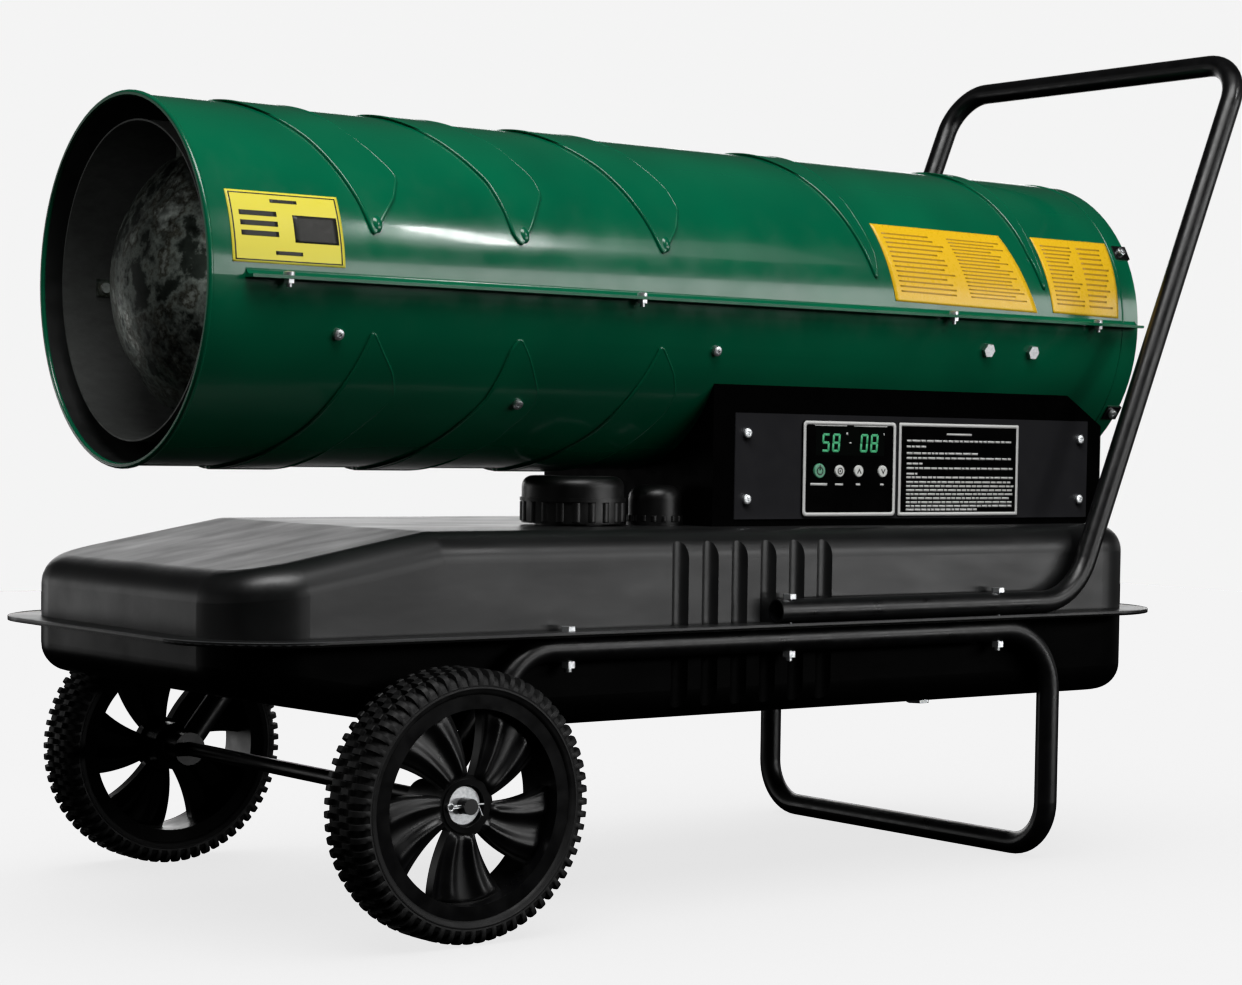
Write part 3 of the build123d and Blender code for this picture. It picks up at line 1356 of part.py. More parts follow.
NODES = {
    "tank_upper": tank_upper,
    "tank_lower": tank_lower,
    "filler_neck": filler_neck,
    "fuel_strainer": fuel_strainer,
    "filler_cap": filler_cap,
    "fuel_gauge": fuel_gauge,
    "gauge_float": gauge_float,
    "drain_plug": drain_plug,
    "fuel_pickup": fuel_pickup,
    "support_frame": support_frame,
    "handle": handle,
    "frame_bolts": frame_bolts,
    "frame_nuts": frame_nuts,
    "axle": axle,
    "axle_washers": axle_washers,
    "cotter_pins": cotter_pins,
    "wheel_rim_left": wheel_rim_left,
    "wheel_rim_right": wheel_rim_right,
    "tyre_left": tyre_left,
    "tyre_right": tyre_right,
    "upper_shell": upper_shell,
    "lower_shell": lower_shell,
    "shell_screws": shell_screws,
    "shell_nuts": shell_nuts,
    "casing_screws": casing_screws,
    "heat_shield": heat_shield,
    "combustion_chamber": combustion_chamber,
    "flame_dome": flame_dome,
    "dome_screws": dome_screws,
    "burner_head": burner_head,
    "fuel_nozzle": fuel_nozzle,
    "nozzle_adaptor": nozzle_adaptor,
    "electrodes": electrodes,
    "photocell": photocell,
    "fan": fan,
    "motor_shaft": motor_shaft,
    "motor_body": motor_body,
    "motor_bracket": motor_bracket,
    "pump_body": pump_body,
    "pump_rotor": pump_rotor,
    "pump_cover": pump_cover,
    "pressure_gauge": pressure_gauge,
    "rear_guard": rear_guard,
    "air_line": air_line,
    "fuel_line": fuel_line,
    "control_box": control_box,
    "side_panel": side_panel,
    "panel_screws": panel_screws,
    "display_bezel": display_bezel,
    "display_window": display_window,
    "circuit_board": circuit_board,
    "button_power": button_power,
    "button_set": button_set,
    "button_up": button_up,
    "button_down": button_down,
    "info_plate": info_plate,
    "ignition_transformer": ignition_transformer,
    "power_inlet": power_inlet,
}

for name, node in NODES.items():
    node.part.label = name
    export_step(node.part, f"parts/{name}.step")
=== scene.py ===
import json
import math

import bmesh
import bpy
import numpy as np
from mathutils import Matrix, Vector


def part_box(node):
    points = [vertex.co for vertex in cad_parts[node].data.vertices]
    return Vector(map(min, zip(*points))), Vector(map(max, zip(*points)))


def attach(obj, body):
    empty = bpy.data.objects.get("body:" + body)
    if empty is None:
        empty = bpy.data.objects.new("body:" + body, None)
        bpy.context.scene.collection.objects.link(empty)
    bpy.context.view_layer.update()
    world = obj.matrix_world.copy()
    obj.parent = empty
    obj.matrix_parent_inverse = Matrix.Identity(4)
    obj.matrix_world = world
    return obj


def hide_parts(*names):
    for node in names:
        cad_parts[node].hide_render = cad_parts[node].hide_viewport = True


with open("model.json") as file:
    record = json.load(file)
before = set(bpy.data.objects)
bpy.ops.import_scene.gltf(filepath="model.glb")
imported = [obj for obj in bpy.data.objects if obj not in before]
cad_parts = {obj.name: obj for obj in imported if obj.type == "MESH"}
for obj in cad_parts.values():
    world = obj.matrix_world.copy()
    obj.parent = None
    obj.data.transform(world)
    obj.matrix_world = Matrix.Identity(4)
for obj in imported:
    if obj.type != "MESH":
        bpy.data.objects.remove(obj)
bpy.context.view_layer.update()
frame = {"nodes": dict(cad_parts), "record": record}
nodes = frame["nodes"]

# Forced air heater: a green barrel on a black fuel tank, with two wheels, a tube frame and a handle.
# Sizes are written in millimetres and turned to metres where a mesh is made.
MM = 0.001

# -------- camera, floor and light

IMAGE = (1242.0, 985.0)
CAMERA_AT = (-1451.55, -1918.36, 371.84)
AZIMUTH, ELEVATION, ROLL = (math.radians(a) for a in (-40.12, 3.09, 0.96))
FOCAL_PX = 2714.67
AIM_PX = (807.99, 589.05)  # where the optical axis meets the image
SENSOR = 36.0

level = math.cos(ELEVATION)
back = Vector((math.sin(AZIMUTH) * level, -math.cos(AZIMUTH) * level, math.sin(ELEVATION)))
right = (-back).cross(Vector((0, 0, 1))).normalized()
up = right.cross(-back)
cos_roll, sin_roll = math.cos(ROLL), math.sin(ROLL)
right, up = right * cos_roll + up * sin_roll, up * cos_roll - right * sin_roll
lens = bpy.data.cameras.new("studio_camera")
lens.sensor_width = SENSOR
lens.lens = SENSOR * FOCAL_PX / IMAGE[0]
lens.shift_x = (IMAGE[0] / 2 - AIM_PX[0]) / IMAGE[0]
lens.shift_y = (AIM_PX[1] - IMAGE[1] / 2) / IMAGE[0]
lens.clip_start, lens.clip_end = 0.1, 50
camera = bpy.data.objects.new("studio_camera", lens)
bpy.context.scene.collection.objects.link(camera)
place = [at * MM for at in CAMERA_AT]
camera.matrix_world = Matrix([*zip(right, up, back, place), (0, 0, 0, 1)])
bpy.context.scene.camera = camera
bpy.context.scene.view_settings.view_transform = "Standard"


def linear(code):
    """sRGB hex colour as linear red, green and blue, with an alpha of 1."""
    levels = [int(code[i : i + 2], 16) / 255 for i in (1, 3, 5)]
    return (*[c / 12.92 if c <= 0.04045 else ((c + 0.055) / 1.055) ** 2.4 for c in levels], 1.0)


def add_node(tree, kind, inputs, feeds=None, stops=None, output=0, **settings):
    """One shader node, given by its named or first output, which may feed a (node, input) pair. Its
    inputs take values or other nodes' outputs; stops are a colour ramp's (place, hex colour) pairs."""
    made = tree.nodes.new("ShaderNode" + kind)
    for name, value in settings.items():
        setattr(made, name, value)
    for name, value in inputs.items():
        if isinstance(value, bpy.types.NodeSocket):
            tree.links.new(value, made.inputs[name])
        else:
            made.inputs[name].default_value = value
    for i, (place, colour) in enumerate(stops or ()):
        ramp = made.color_ramp.elements
        stop = ramp[i] if i < 2 else ramp.new(place)
        stop.position, stop.color = place, linear(colour)
    if feeds:
        tree.links.new(made.outputs[output], feeds[0].inputs[feeds[1]])
    return made.outputs[output]


def softbox(name, at, towards, size, power):
    """Rectangular soft light that looks at a point, unseen by the camera itself."""
    lamp = bpy.data.lights.new(name, "AREA")
    lamp.shape = "RECTANGLE"
    lamp.size, lamp.size_y = size
    lamp.energy = power
    box = bpy.data.objects.new(name, lamp)
    bpy.context.scene.collection.objects.link(box)
    box.location = at
    box.rotation_mode = "QUATERNION"
    box.rotation_quaternion = (Vector(towards) - Vector(at)).to_track_quat("-Z", "Y")
    box.visible_camera = False
    return box


# Dark studio with a pale cove just above the floor line, seen only behind the heater; the camera itself
# sees one flat pale grey
world = bpy.data.worlds.new("pale_studio")
world.use_nodes = True
sky = world.node_tree
direction = add_node(sky, "TexCoord", {}, output="Generated")
height = add_node(sky, "SeparateXYZ", {"Vector": direction}, output="Z")
depth = add_node(sky, "SeparateXYZ", {"Vector": direction}, output="Y")
share = add_node(sky, "MapRange", {"Value": height, "From Min": -1.0, "From Max": 1.0})
cove = add_node(
    sky,
    "ValToRGB",
    {"Fac": share},
    stops=[
        (0.0, "#020202"),
        (1.0, "#2c2c2c"),
        (0.485, "#060606"),
        (0.503, "#8c8c8c"),
        (0.56, "#8c8c8c"),
        (0.64, "#343434"),
    ],
)
behind = add_node(sky, "MapRange", {"Value": depth, "From Min": -0.35, "From Max": 0.25})
half_lit = add_node(sky, "MixRGB", {"Fac": behind, "Color1": linear("#161616"), "Color2": cove})
seen = add_node(sky, "LightPath", {}, output="Is Camera Ray")
add_node(
    sky,
    "MixRGB",
    {"Fac": seen, "Color1": half_lit, "Color2": linear("#f4f4f4")},
    feeds=(sky.nodes["Background"], "Color"),
)
bpy.context.scene.world = world

# Lights as (name, place, point looked at, size, watts), in metres. Boxes to the right of the camera draw
# the bright streak, its haze and the pale band over the seam; the low box shines in the tank's side, the
# wall on the left in its front, one light looks into the mouth, the wall behind lights the tops at a
# glance, the top light fills, and the floor has an even light of its own
floor_light = softbox("floor_light", (0, 0, 4), (0, 0, 0), (6, 6), 1000)
streak_box = softbox("streak_box", (1.09, -1.85, 1.86), (-0.31, -0.13, 0.53), (0.11, 0.38), 5.5)
streak_haze = softbox("streak_haze", (1.35, -1.85, 1.86), (-0.2, -0.13, 0.53), (0.9, 0.4), 0.9)
seam_box = softbox("seam_box", (1.2, -1.85, 0.86), (0.0, -0.14, 0.49), (2.0, 0.46), 11)
low_box = softbox("low_box", (1.9, -2.6, 0.1), (0.0, -0.19, 0.25), (2.4, 0.15), 12)
left_wall = softbox("left_wall", (-1.1, 1.9, 0.15), (-0.52, 0.1, 0.26), (0.5, 0.6), 1.4)
mouth_light = softbox("mouth_light", (-1.7, -0.75, 0.8), (-0.5, 0.05, 0.48), (0.5, 0.5), 7)
back_wall = softbox("back_wall", (1.7, 2.6, 0.75), (0, 0, 0.4), (3.6, 1.1), 24)
top_light = softbox("top_light", (-0.75, -1.0, 2.4), (0, -0.05, 0.4), (2.1, 0.9), 48)

# -------- finishes

# Most of a noise texture lies between these values
MOTTLE = {"From Min": 0.3, "From Max": 0.7}


def new_finish(name, colour, roughness, **sockets):
    """Material with one Principled shader, given with its tree, its shader and the Object coordinates."""
    finish = bpy.data.materials.new(name)
    finish.use_nodes = True
    tree = finish.node_tree
    shader = tree.nodes["Principled BSDF"]
    shader.inputs["Base Color"].default_value = linear(colour)
    shader.inputs["Roughness"].default_value = roughness
    for socket, value in sockets.items():
        shader.inputs[socket.replace("_", " ")].default_value = value
    return finish, tree, shader, add_node(tree, "TexCoord", {}, output="Object")


def stoved_green_enamel():
    """Rolled steel sheet, sprayed and stoved in dark green gloss enamel: sharp highlights with a
    faint orange peel of about 3 mm, over the slow waves that rolling leaves in thin sheet."""
    finish, tree, shader, place = new_finish(
        "stoved_green_enamel", "#055f40", 0.17, IOR=1.5, Coat_Weight=0.3, Coat_Roughness=0.06
    )
    cloud = add_node(tree, "TexNoise", {"Vector": place, "Scale": 11.0, "Detail": 1.0})
    add_node(tree, "ValToRGB", {"Fac": cloud}, (shader, "Base Color"), [(0.3, "#026142"), (0.7, "#036c49")])
    haze = add_node(tree, "TexNoise", {"Vector": place, "Scale": 40.0, "Detail": 3.0})
    add_node(
        tree, "MapRange", {**MOTTLE, "Value": haze, "To Min": 0.14, "To Max": 0.25}, (shader, "Roughness")
    )
    wave = add_node(tree, "TexNoise", {"Vector": place, "Scale": 14.0, "Detail": 1.0})
    slow = add_node(tree, "Bump", {"Height": wave, "Distance": 0.4 * MM})
    peel = add_node(tree, "TexNoise", {"Vector": place, "Scale": 330.0, "Detail": 2.0})
    add_node(tree, "Bump", {"Height": peel, "Distance": 0.02 * MM, "Normal": slow}, (shader, "Normal"))
    return finish


def drawn_black_enamel(name, dark, light, shine=0.5):
    """Deep-drawn steel tank, sprayed black and baked: satin, with soft smears where it was wiped
    and the slow dents of a large pressing."""
    finish, tree, shader, place = new_finish(name, dark, 0.36, IOR=1.5, Specular_IOR_Level=shine)
    along = add_node(tree, "Mapping", {"Vector": place, "Scale": (0.35, 1.0, 1.0)})
    smear = add_node(tree, "TexNoise", {"Vector": along, "Scale": 36.0, "Detail": 4.0, "Roughness": 0.6})
    add_node(
        tree, "MapRange", {**MOTTLE, "Value": smear, "To Min": 0.32, "To Max": 0.42}, (shader, "Roughness")
    )
    cloud = add_node(tree, "TexNoise", {"Vector": place, "Scale": 17.0, "Detail": 2.0})
    add_node(tree, "ValToRGB", {"Fac": cloud}, (shader, "Base Color"), [(0.3, dark), (0.7, light)])
    dent = add_node(tree, "TexNoise", {"Vector": place, "Scale": 12.0, "Detail": 1.0})
    slow = add_node(tree, "Bump", {"Height": dent, "Distance": 0.6 * MM})
    peel = add_node(tree, "TexNoise", {"Vector": place, "Scale": 450.0, "Detail": 2.0})
    add_node(tree, "Bump", {"Height": peel, "Distance": 0.02 * MM, "Normal": slow}, (shader, "Normal"))
    return finish


def grained_skin(name, colour, roughness, grain, shine=0.5, relief=0.02, ior=1.5, marks=70.0, spread=0.08):
    """Satin skin with a fine grain, its width and relief given in mm: the leathery one of baked powder
    coat on steel, or the spark-eroded one of moulded polypropylene, with soft marks of 15 to 20 mm."""
    finish, tree, shader, place = new_finish(name, colour, roughness, IOR=ior, Specular_IOR_Level=shine)
    cloud = add_node(tree, "TexNoise", {"Vector": place, "Scale": marks, "Detail": 3.0})
    gloss = {"To Min": roughness - 0.05, "To Max": roughness + spread}
    add_node(tree, "MapRange", {**MOTTLE, "Value": cloud, **gloss}, (shader, "Roughness"))
    skin = add_node(tree, "TexNoise", {"Vector": place, "Scale": 1 / (grain * MM), "Detail": 2.0})
    add_node(tree, "Bump", {"Height": skin, "Distance": relief * MM}, (shader, "Normal"))
    return finish


def hazed_gloss(name, colour, roughness, scale, gloss, relief=0.0, detail=2.0, **sockets):
    """Smooth surface with the haze of wiping or wear: one noise sets its roughness between two values
    and stands out by a relief in mm."""
    finish, tree, shader, place = new_finish(name, colour, roughness, **sockets)
    haze = add_node(tree, "TexNoise", {"Vector": place, "Scale": scale, "Detail": detail})
    dulled = {"To Min": gloss[0], "To Max": gloss[1]}
    add_node(tree, "MapRange", {**MOTTLE, "Value": haze, **dulled}, (shader, "Roughness"))
    if relief:
        add_node(tree, "Bump", {"Height": haze, "Distance": relief * MM}, (shader, "Normal"))
    return finish


def printed_ink(name, colour, roughness=0.42, glow=0.0):
    """Screen-printed ink or cast vinyl: flat and dense, with the slight mottling that a print has."""
    gloss = (roughness - 0.08, roughness + 0.1)
    light = {"Emission_Color": linear(colour), "Emission_Strength": glow}
    return hazed_gloss(name, colour, roughness, 300.0, gloss, 0.008, 3.0, IOR=1.5, **light)


def bright_zinc_plate():
    """Steel fasteners, barrel-plated with zinc: bright, with cloudy patches of about 2 mm."""
    finish, tree, shader, place = new_finish("bright_zinc_plate", "#dfe1e3", 0.4, Metallic=1.0)
    cloud = add_node(tree, "TexNoise", {"Vector": place, "Scale": 500.0, "Detail": 3.0})
    add_node(tree, "ValToRGB", {"Fac": cloud}, (shader, "Base Color"), [(0.3, "#cfd2d4"), (0.7, "#eceeef")])
    add_node(
        tree, "MapRange", {**MOTTLE, "Value": cloud, "To Min": 0.46, "To Max": 0.32}, (shader, "Roughness")
    )
    add_node(tree, "Bump", {"Height": cloud, "Distance": 0.01 * MM}, (shader, "Normal"))
    return finish


def heat_stained_steel():
    """Stainless pressing in the flame's path: mottled in grey, brown and blue-green where the oxide
    grew thicker, in patches of 10 to 30 mm, with fine spots and a dulled gloss."""
    finish, tree, shader, place = new_finish("heat_stained_steel", "#8c918d", 0.4, Metallic=1.0)
    stain = add_node(tree, "TexNoise", {"Vector": place, "Scale": 38.0, "Detail": 5.0, "Roughness": 0.62})
    add_node(
        tree,
        "ValToRGB",
        {"Fac": stain},
        (shader, "Base Color"),
        [
            (0.0, "#121513"),
            (1.0, "#c9cdc8"),
            (0.42, "#252a26"),
            (0.5, "#6a716b"),
            (0.57, "#3a3a32"),
            (0.66, "#8d948e"),
        ],
    )
    spots = add_node(tree, "TexNoise", {"Vector": place, "Scale": 110.0, "Detail": 4.0, "Roughness": 0.7})
    add_node(
        tree, "MapRange", {**MOTTLE, "Value": spots, "To Min": 0.28, "To Max": 0.62}, (shader, "Roughness")
    )
    warp = add_node(tree, "TexNoise", {"Vector": place, "Scale": 45.0, "Detail": 2.0})
    slow = add_node(tree, "Bump", {"Height": warp, "Distance": 0.5 * MM})
    add_node(tree, "Bump", {"Height": spots, "Distance": 0.05 * MM, "Normal": slow}, (shader, "Normal"))
    return finish


def sooted_steel():
    """Aluminised steel round the flame: dull dark grey where soot and heat took the shine off, a
    little lighter in streaks along the air's way."""
    finish, tree, shader, place = new_finish("sooted_steel", "#484a49", 0.5, Metallic=0.6)
    drawn = add_node(tree, "Mapping", {"Vector": place, "Scale": (0.6, 1.0, 1.0)})
    streak = add_node(tree, "TexNoise", {"Vector": drawn, "Scale": 110.0, "Detail": 4.0, "Roughness": 0.65})
    add_node(tree, "ValToRGB", {"Fac": streak}, (shader, "Base Color"), [(0.3, "#3b3c3b"), (0.7, "#4f514f")])
    add_node(
        tree, "MapRange", {**MOTTLE, "Value": streak, "To Min": 0.62, "To Max": 0.44}, (shader, "Roughness")
    )
    add_node(tree, "Bump", {"Height": streak, "Distance": 0.03 * MM}, (shader, "Normal"))
    return finish


def cast_aluminium():
    """Die-cast aluminium, left as cast: matt silver grey with a pebbled skin of about a millimetre."""
    finish, tree, shader, place = new_finish("cast_aluminium", "#8e9192", 0.48, Metallic=1.0)
    cloud = add_node(tree, "TexNoise", {"Vector": place, "Scale": 140.0, "Detail": 3.0})
    add_node(tree, "ValToRGB", {"Fac": cloud}, (shader, "Base Color"), [(0.3, "#7c7f80"), (0.7, "#999c9d")])
    skin = add_node(tree, "TexNoise", {"Vector": place, "Scale": 1200.0, "Detail": 3.0})
    add_node(tree, "Bump", {"Height": skin, "Distance": 0.04 * MM}, (shader, "Normal"))
    return finish


def turned_brass():
    """Brass turned on a lathe: yellow metal, darker where it has tarnished."""
    finish, tree, shader, place = new_finish("turned_brass", "#b9975a", 0.3, Metallic=1.0)
    tarnish = add_node(tree, "TexNoise", {"Vector": place, "Scale": 250.0, "Detail": 3.0})
    add_node(
        tree, "ValToRGB", {"Fac": tarnish}, (shader, "Base Color"), [(0.35, "#97763f"), (0.65, "#c5a365")]
    )
    add_node(tree, "Bump", {"Height": tarnish, "Distance": 0.01 * MM}, (shader, "Normal"))
    return finish


def glazed_porcelain():
    """White glazed porcelain of the electrodes: clean gloss with a few grey specks."""
    finish, tree, shader, place = new_finish("glazed_porcelain", "#e6e4dc", 0.15, IOR=1.54)
    specks = add_node(tree, "TexNoise", {"Vector": place, "Scale": 650.0, "Detail": 4.0})
    add_node(
        tree, "ValToRGB", {"Fac": specks}, (shader, "Base Color"), [(0.62, "#e6e4dc"), (0.72, "#aaa69b")]
    )
    return finish


def moulded_tyre_rubber():
    """Solid rubber tyre out of the mould: deep matt black with a dusty bloom, and a grain of half a
    millimetre that is drawn twice as coarse so that it shows."""
    finish, tree, shader, place = new_finish(
        "moulded_tyre_rubber", "#0a0a0a", 0.6, IOR=1.52, Specular_IOR_Level=0.35
    )
    bloom = add_node(tree, "TexNoise", {"Vector": place, "Scale": 80.0, "Detail": 4.0})
    add_node(tree, "ValToRGB", {"Fac": bloom}, (shader, "Base Color"), [(0.3, "#060606"), (0.7, "#0f0f10")])
    add_node(
        tree, "MapRange", {**MOTTLE, "Value": bloom, "To Min": 0.5, "To Max": 0.72}, (shader, "Roughness")
    )
    grain = add_node(tree, "TexNoise", {"Vector": place, "Scale": 1000.0, "Detail": 3.0})
    add_node(tree, "Bump", {"Height": grain, "Distance": 0.05 * MM}, (shader, "Normal"))
    return finish


def circuit_laminate():
    """Glass-fibre circuit board under green solder resist: a woven pattern of about a millimetre."""
    finish, tree, shader, place = new_finish("circuit_laminate", "#12502c", 0.35, IOR=1.55)
    weave = add_node(tree, "TexWave", {"Vector": place, "Scale": 160.0}, output="Fac")
    add_node(tree, "ValToRGB", {"Fac": weave}, (shader, "Base Color"), [(0.2, "#0f4426"), (0.8, "#176338")])
    return finish


MOULDED = {"ior": 1.49, "marks": 50.0, "spread": 0.1}
KEY = {"scale": 400.0, "gloss": (0.3, 0.45), "relief": 0.01, "IOR": 1.54}
ACRYLIC = {"IOR": 1.49, "Coat_Weight": 0.4}
enamel = stoved_green_enamel()
wheel_plastic = grained_skin("moulded_wheel_plastic", "#040405", 0.3, 1.1, 0.5, 0.006, **MOULDED)
cap_plastic = grained_skin("moulded_cap_plastic", "#060606", 0.36, 0.7, **MOULDED)
zinc = bright_zinc_plate()
# Lighter grey enamel for the tank flange's rolled hem: a painted highlight along the hem
hem_highlight_enamel = drawn_black_enamel("black_enamel_painted_highlight", "#38393a", "#4e4f50", 0.8)
# Near-black skin for a sheet inside the barrel's mouth: painted shade over the green inside wall
painted_shade_black = grained_skin("painted_shade_black", "#060807", 0.5, 2.0)
tyre_rubber = moulded_tyre_rubber()
white_ink = printed_ink("white_screen_ink", "#dcdcda")
grey_ink = printed_ink("small_print_ink", "#d6d6d4")
dark_ink = printed_ink("dark_label_ink", "#1d1c17")
ochre_ink = printed_ink("ochre_rule_ink", "#b98c14")
yellow_vinyl = printed_ink("yellow_cast_vinyl", "#f6c41e", 0.3)
lemon_vinyl = printed_ink("lemon_cast_vinyl", "#f4e64a", 0.36)
digit_light = printed_ink("green_digit_light", "#3f9a6b", 0.5, 0.5)

finishes = {
    "black_paint": grained_skin("black_powder_coat", "#060607", 0.32, 1.1),
    "green_paint": enamel,
    "grey_paint": grained_skin("charcoal_motor_coat", "#1b1c1d", 0.42, 0.9),
    "zinc_steel": zinc,
    "heat_steel": sooted_steel(),
    "cast_aluminium": cast_aluminium(),
    "chrome_case": hazed_gloss("polished_chrome", "#d3d5d6", 0.08, 200.0, (0.05, 0.14), Metallic=1.0),
    "brass": turned_brass(),
    "white_ceramic": glazed_porcelain(),
    "tyre_rubber": tyre_rubber,
    "wheel_plastic": wheel_plastic,
    "black_plastic": cap_plastic,
    "gloss_black_plastic": grained_skin("black_overlay_film", "#050505", 0.3, 2.0, 0.2, 0.008, **MOULDED),
    "white_plastic": hazed_gloss("white_key", "#d8dad6", 0.35, **KEY),
    "green_plastic": hazed_gloss("green_key", "#4f9c78", 0.35, **KEY),
    "display_lens": hazed_gloss("smoked_acrylic", "#0b0f0d", 0.06, 160.0, (0.04, 0.1), **ACRYLIC),
    "board_green": circuit_laminate(),
}
pressings = {
    "tank_upper": drawn_black_enamel("drawn_black_enamel", "#0b0b0c", "#131414"),
    # The lower pan is the upper pan's enamel painted darker: painted shade for the light that falls from
    # above
    "tank_lower": drawn_black_enamel("drawn_black_enamel_painted_shade", "#030303", "#060606", 0.08),
    "flame_dome": heat_stained_steel(),
    # The panel's black coat is raised to dark grey: a painted sheen for the light the flat panel reflects
    "side_panel": grained_skin("satin_black_panel_painted_sheen", "#303033", 0.42, 0.9, 0.4),
    # The box's black coat is darkened to near black: painted shade from the barrel above it
    "control_box": grained_skin("black_powder_coat_painted_shade", "#020202", 0.55, 1.1, 0.05),
}
for part in frame["record"]["subparts"]:
    for slot in nodes[part["node"]].material_slots:
        slot.link = "OBJECT"
        slot.material = pressings.get(part["node"], finishes[part["material_slot"]])

# -------- surfaces

BARREL_R, BARREL_Z = 140.5, 486.0
SHEET, FLANGE = 1.2, 12.0
SEAM_FRONT, SEAM_REAR = -491.5, 445.5
AXLE_X, AXLE_Z, WHEEL_Y = -366.0, 101.5, 235.0
DOUBLES = 0.002 * MM  # points closer than this are one
ROUND = 12  # corners of a thin round section


def grid(rows, cols, close_rows=False, close_cols=False):
    """Quads over points numbered row by row: corner, next along the row, and the two above them; a
    closed side joins back to its start."""
    r = np.arange(rows if close_rows else rows - 1)[:, None]
    c = np.arange(cols if close_cols else cols - 1)[None, :]
    over, along = (r + 1) % rows, (c + 1) % cols
    corners = (r * cols + c, r * cols + along, over * cols + along, over * cols + c)
    return np.stack(corners, -1).reshape(-1, 4)


def make_piece(name, surfaces, finish, body, replaces=(), thickness=0.0, crease=32):
    """One piece from surfaces, each a grid of points in mm with its quads. A closed shell has its
    doubles merged and its faces turned outwards; a sheet is drawn facing out and gets a thickness."""
    starts = np.cumsum([0] + [np.size(points) // 3 for points, _ in surfaces])
    points = np.concatenate([np.reshape(points, (-1, 3)) for points, _ in surfaces]) * MM
    quads = np.concatenate([quads + start for (_, quads), start in zip(surfaces, starts)])
    mesh = bpy.data.meshes.new(name)
    mesh.from_pydata(points.tolist(), [], quads.tolist())
    if not thickness:
        shell = bmesh.new()
        shell.from_mesh(mesh)
        bmesh.ops.remove_doubles(shell, verts=shell.verts, dist=DOUBLES)
        bmesh.ops.dissolve_degenerate(shell, edges=shell.edges, dist=DOUBLES / 2)
        bmesh.ops.recalc_face_normals(shell, faces=shell.faces)
        shell.to_mesh(mesh)
        shell.free()
    mesh.shade_smooth()
    mesh.set_sharp_from_angle(angle=math.radians(crease))
    mesh.materials.append(finish)
    piece = bpy.data.objects.new(name, mesh)
    bpy.context.scene.collection.objects.link(piece)
    if thickness:
        wall = piece.modifiers.new("thickness", "SOLIDIFY")
        wall.thickness, wall.offset = thickness * MM, -1.0
    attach(piece, body)
    if replaces:
        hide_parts(*replaces)
    return piece


def polar(radius, degrees):
    """Points at radii and angles, as (x, y) pairs."""
    turn = np.radians(degrees)
    return np.stack([radius * np.cos(turn), radius * np.sin(turn)], -1)


# -------- wheels

PITCHES = 64  # lugs round a tyre
STEPS = np.array([0.0, 0.05, 0.25, 0.45, 0.5, 0.55, 0.75, 0.95])  # the points of a pitch
ON_LUG = np.array([0, 1, 1, 1, 0, 0, 0, 0])  # which of them lie on a lug of the middle row
ON_GAP = np.roll(ON_LUG, 4)
SHOULDER_INSET = 0.5  # how far the shoulder stands in between its lugs
# Half of the tyre's outline: distance from the middle plane, radius on a lug, radius between lugs and row
# of lugs, which is 0 where there are none, 1 in the middle and 2 on the shoulder
HALF_TYRE = np.array(
    [
        (0.0, 97.6, 97.6, 0),
        (0.9, 97.6, 97.6, 0),
        (1.4, 101.2, 97.6, 1),
        (2.2, 101.5, 97.6, 1),
        (6.5, 101.5, 97.5, 1),
        (11.2, 101.4, 97.4, 1),
        (11.8, 100.9, 97.3, 1),
        (12.2, 97.2, 97.2, 0),
        (13.6, 97.2, 97.2, 0),
        (14.1, 100.7, 97.1, 2),
        (14.9, 101.3, 97.1, 2),
        (19.0, 100.9, 96.8, 2),
        (22.2, 99.7, 95.6, 2),
        (24.0, 98.0, 94.2, 2),
        (25.1, 95.4, 92.2, 2),
        (25.5, 92.0, 90.6, 2),
        (25.4, 90.2, 90.0, 0),
        (25.2, 88.9, 88.9, 0),
        (25.5, 88.4, 88.4, 0),
        (25.5, 87.6, 87.6, 0),
        (25.1, 87.2, 87.2, 0),
        (24.6, 85.2, 85.2, 0),
        (23.4, 83.6, 83.6, 0),
        (22.4, 83.0, 83.0, 0),
        (19.6, 83.0, 83.0, 0),
        (19.5, 80.6, 80.6, 0),
    ]
)


def tyre(side):
    """Tyre: its outline is mirrored about the middle plane and carried round the axle. The radius is
    the base radius plus the lug's height times a step that is 1 on a lug and 0 between two; the
    shoulder lugs are half a pitch from the middle ones, and the far half's from the near half's."""
    far = HALF_TYRE[:0:-1] * (-1, 1, 1, 1)
    outline = np.concatenate([far, HALF_TYRE])
    turn = (np.arange(PITCHES)[:, None] + STEPS).ravel() * 2 * np.pi / PITCHES
    row = outline[:, 3].astype(int)
    near_rows = np.stack([ON_LUG * 0, ON_LUG, ON_GAP])
    far_rows = np.stack([ON_LUG * 0, ON_GAP, ON_LUG])
    step = np.where((outline[:, 0] > 0)[:, None], near_rows[row], far_rows[row])
    step = np.tile(step, PITCHES)
    radius = outline[:, 2, None] + (outline[:, 1] - outline[:, 2])[:, None] * step
    inset = np.where(row[:, None] == 2, SHOULDER_INSET * (1 - step), 0)
    across = outline[:, 0, None] - np.sign(outline[:, 0, None]) * inset
    x, z = AXLE_X + radius * np.cos(turn), AXLE_Z + radius * np.sin(turn)
    points = np.stack([x, side * (WHEEL_Y + across), z], -1)
    return points, grid(len(outline), len(turn), close_rows=True, close_cols=True)


SPOKES = 5
SPOKE_TURN = {-1: 27.6, 1: 4.2}  # where the first spoke of each wheel stands
SPOKE_FACES = ((245.0, 1), (236.0, -1))  # the spokes' outer and inner face and the way each looks
RIB_ROWS, RIB_COLS = 25, 33
RIB_START, RIB_END = 21.0, 72.3  # radii between which the ribs lie
RIB_RISE, SKIN_RISE, SKIN_DEPTH = 3.6, 0.9, 0.8
RIDGES_AT, RIDGE_WIDTH = (0.24, 0.76), 0.12  # as shares of the way from edge to edge
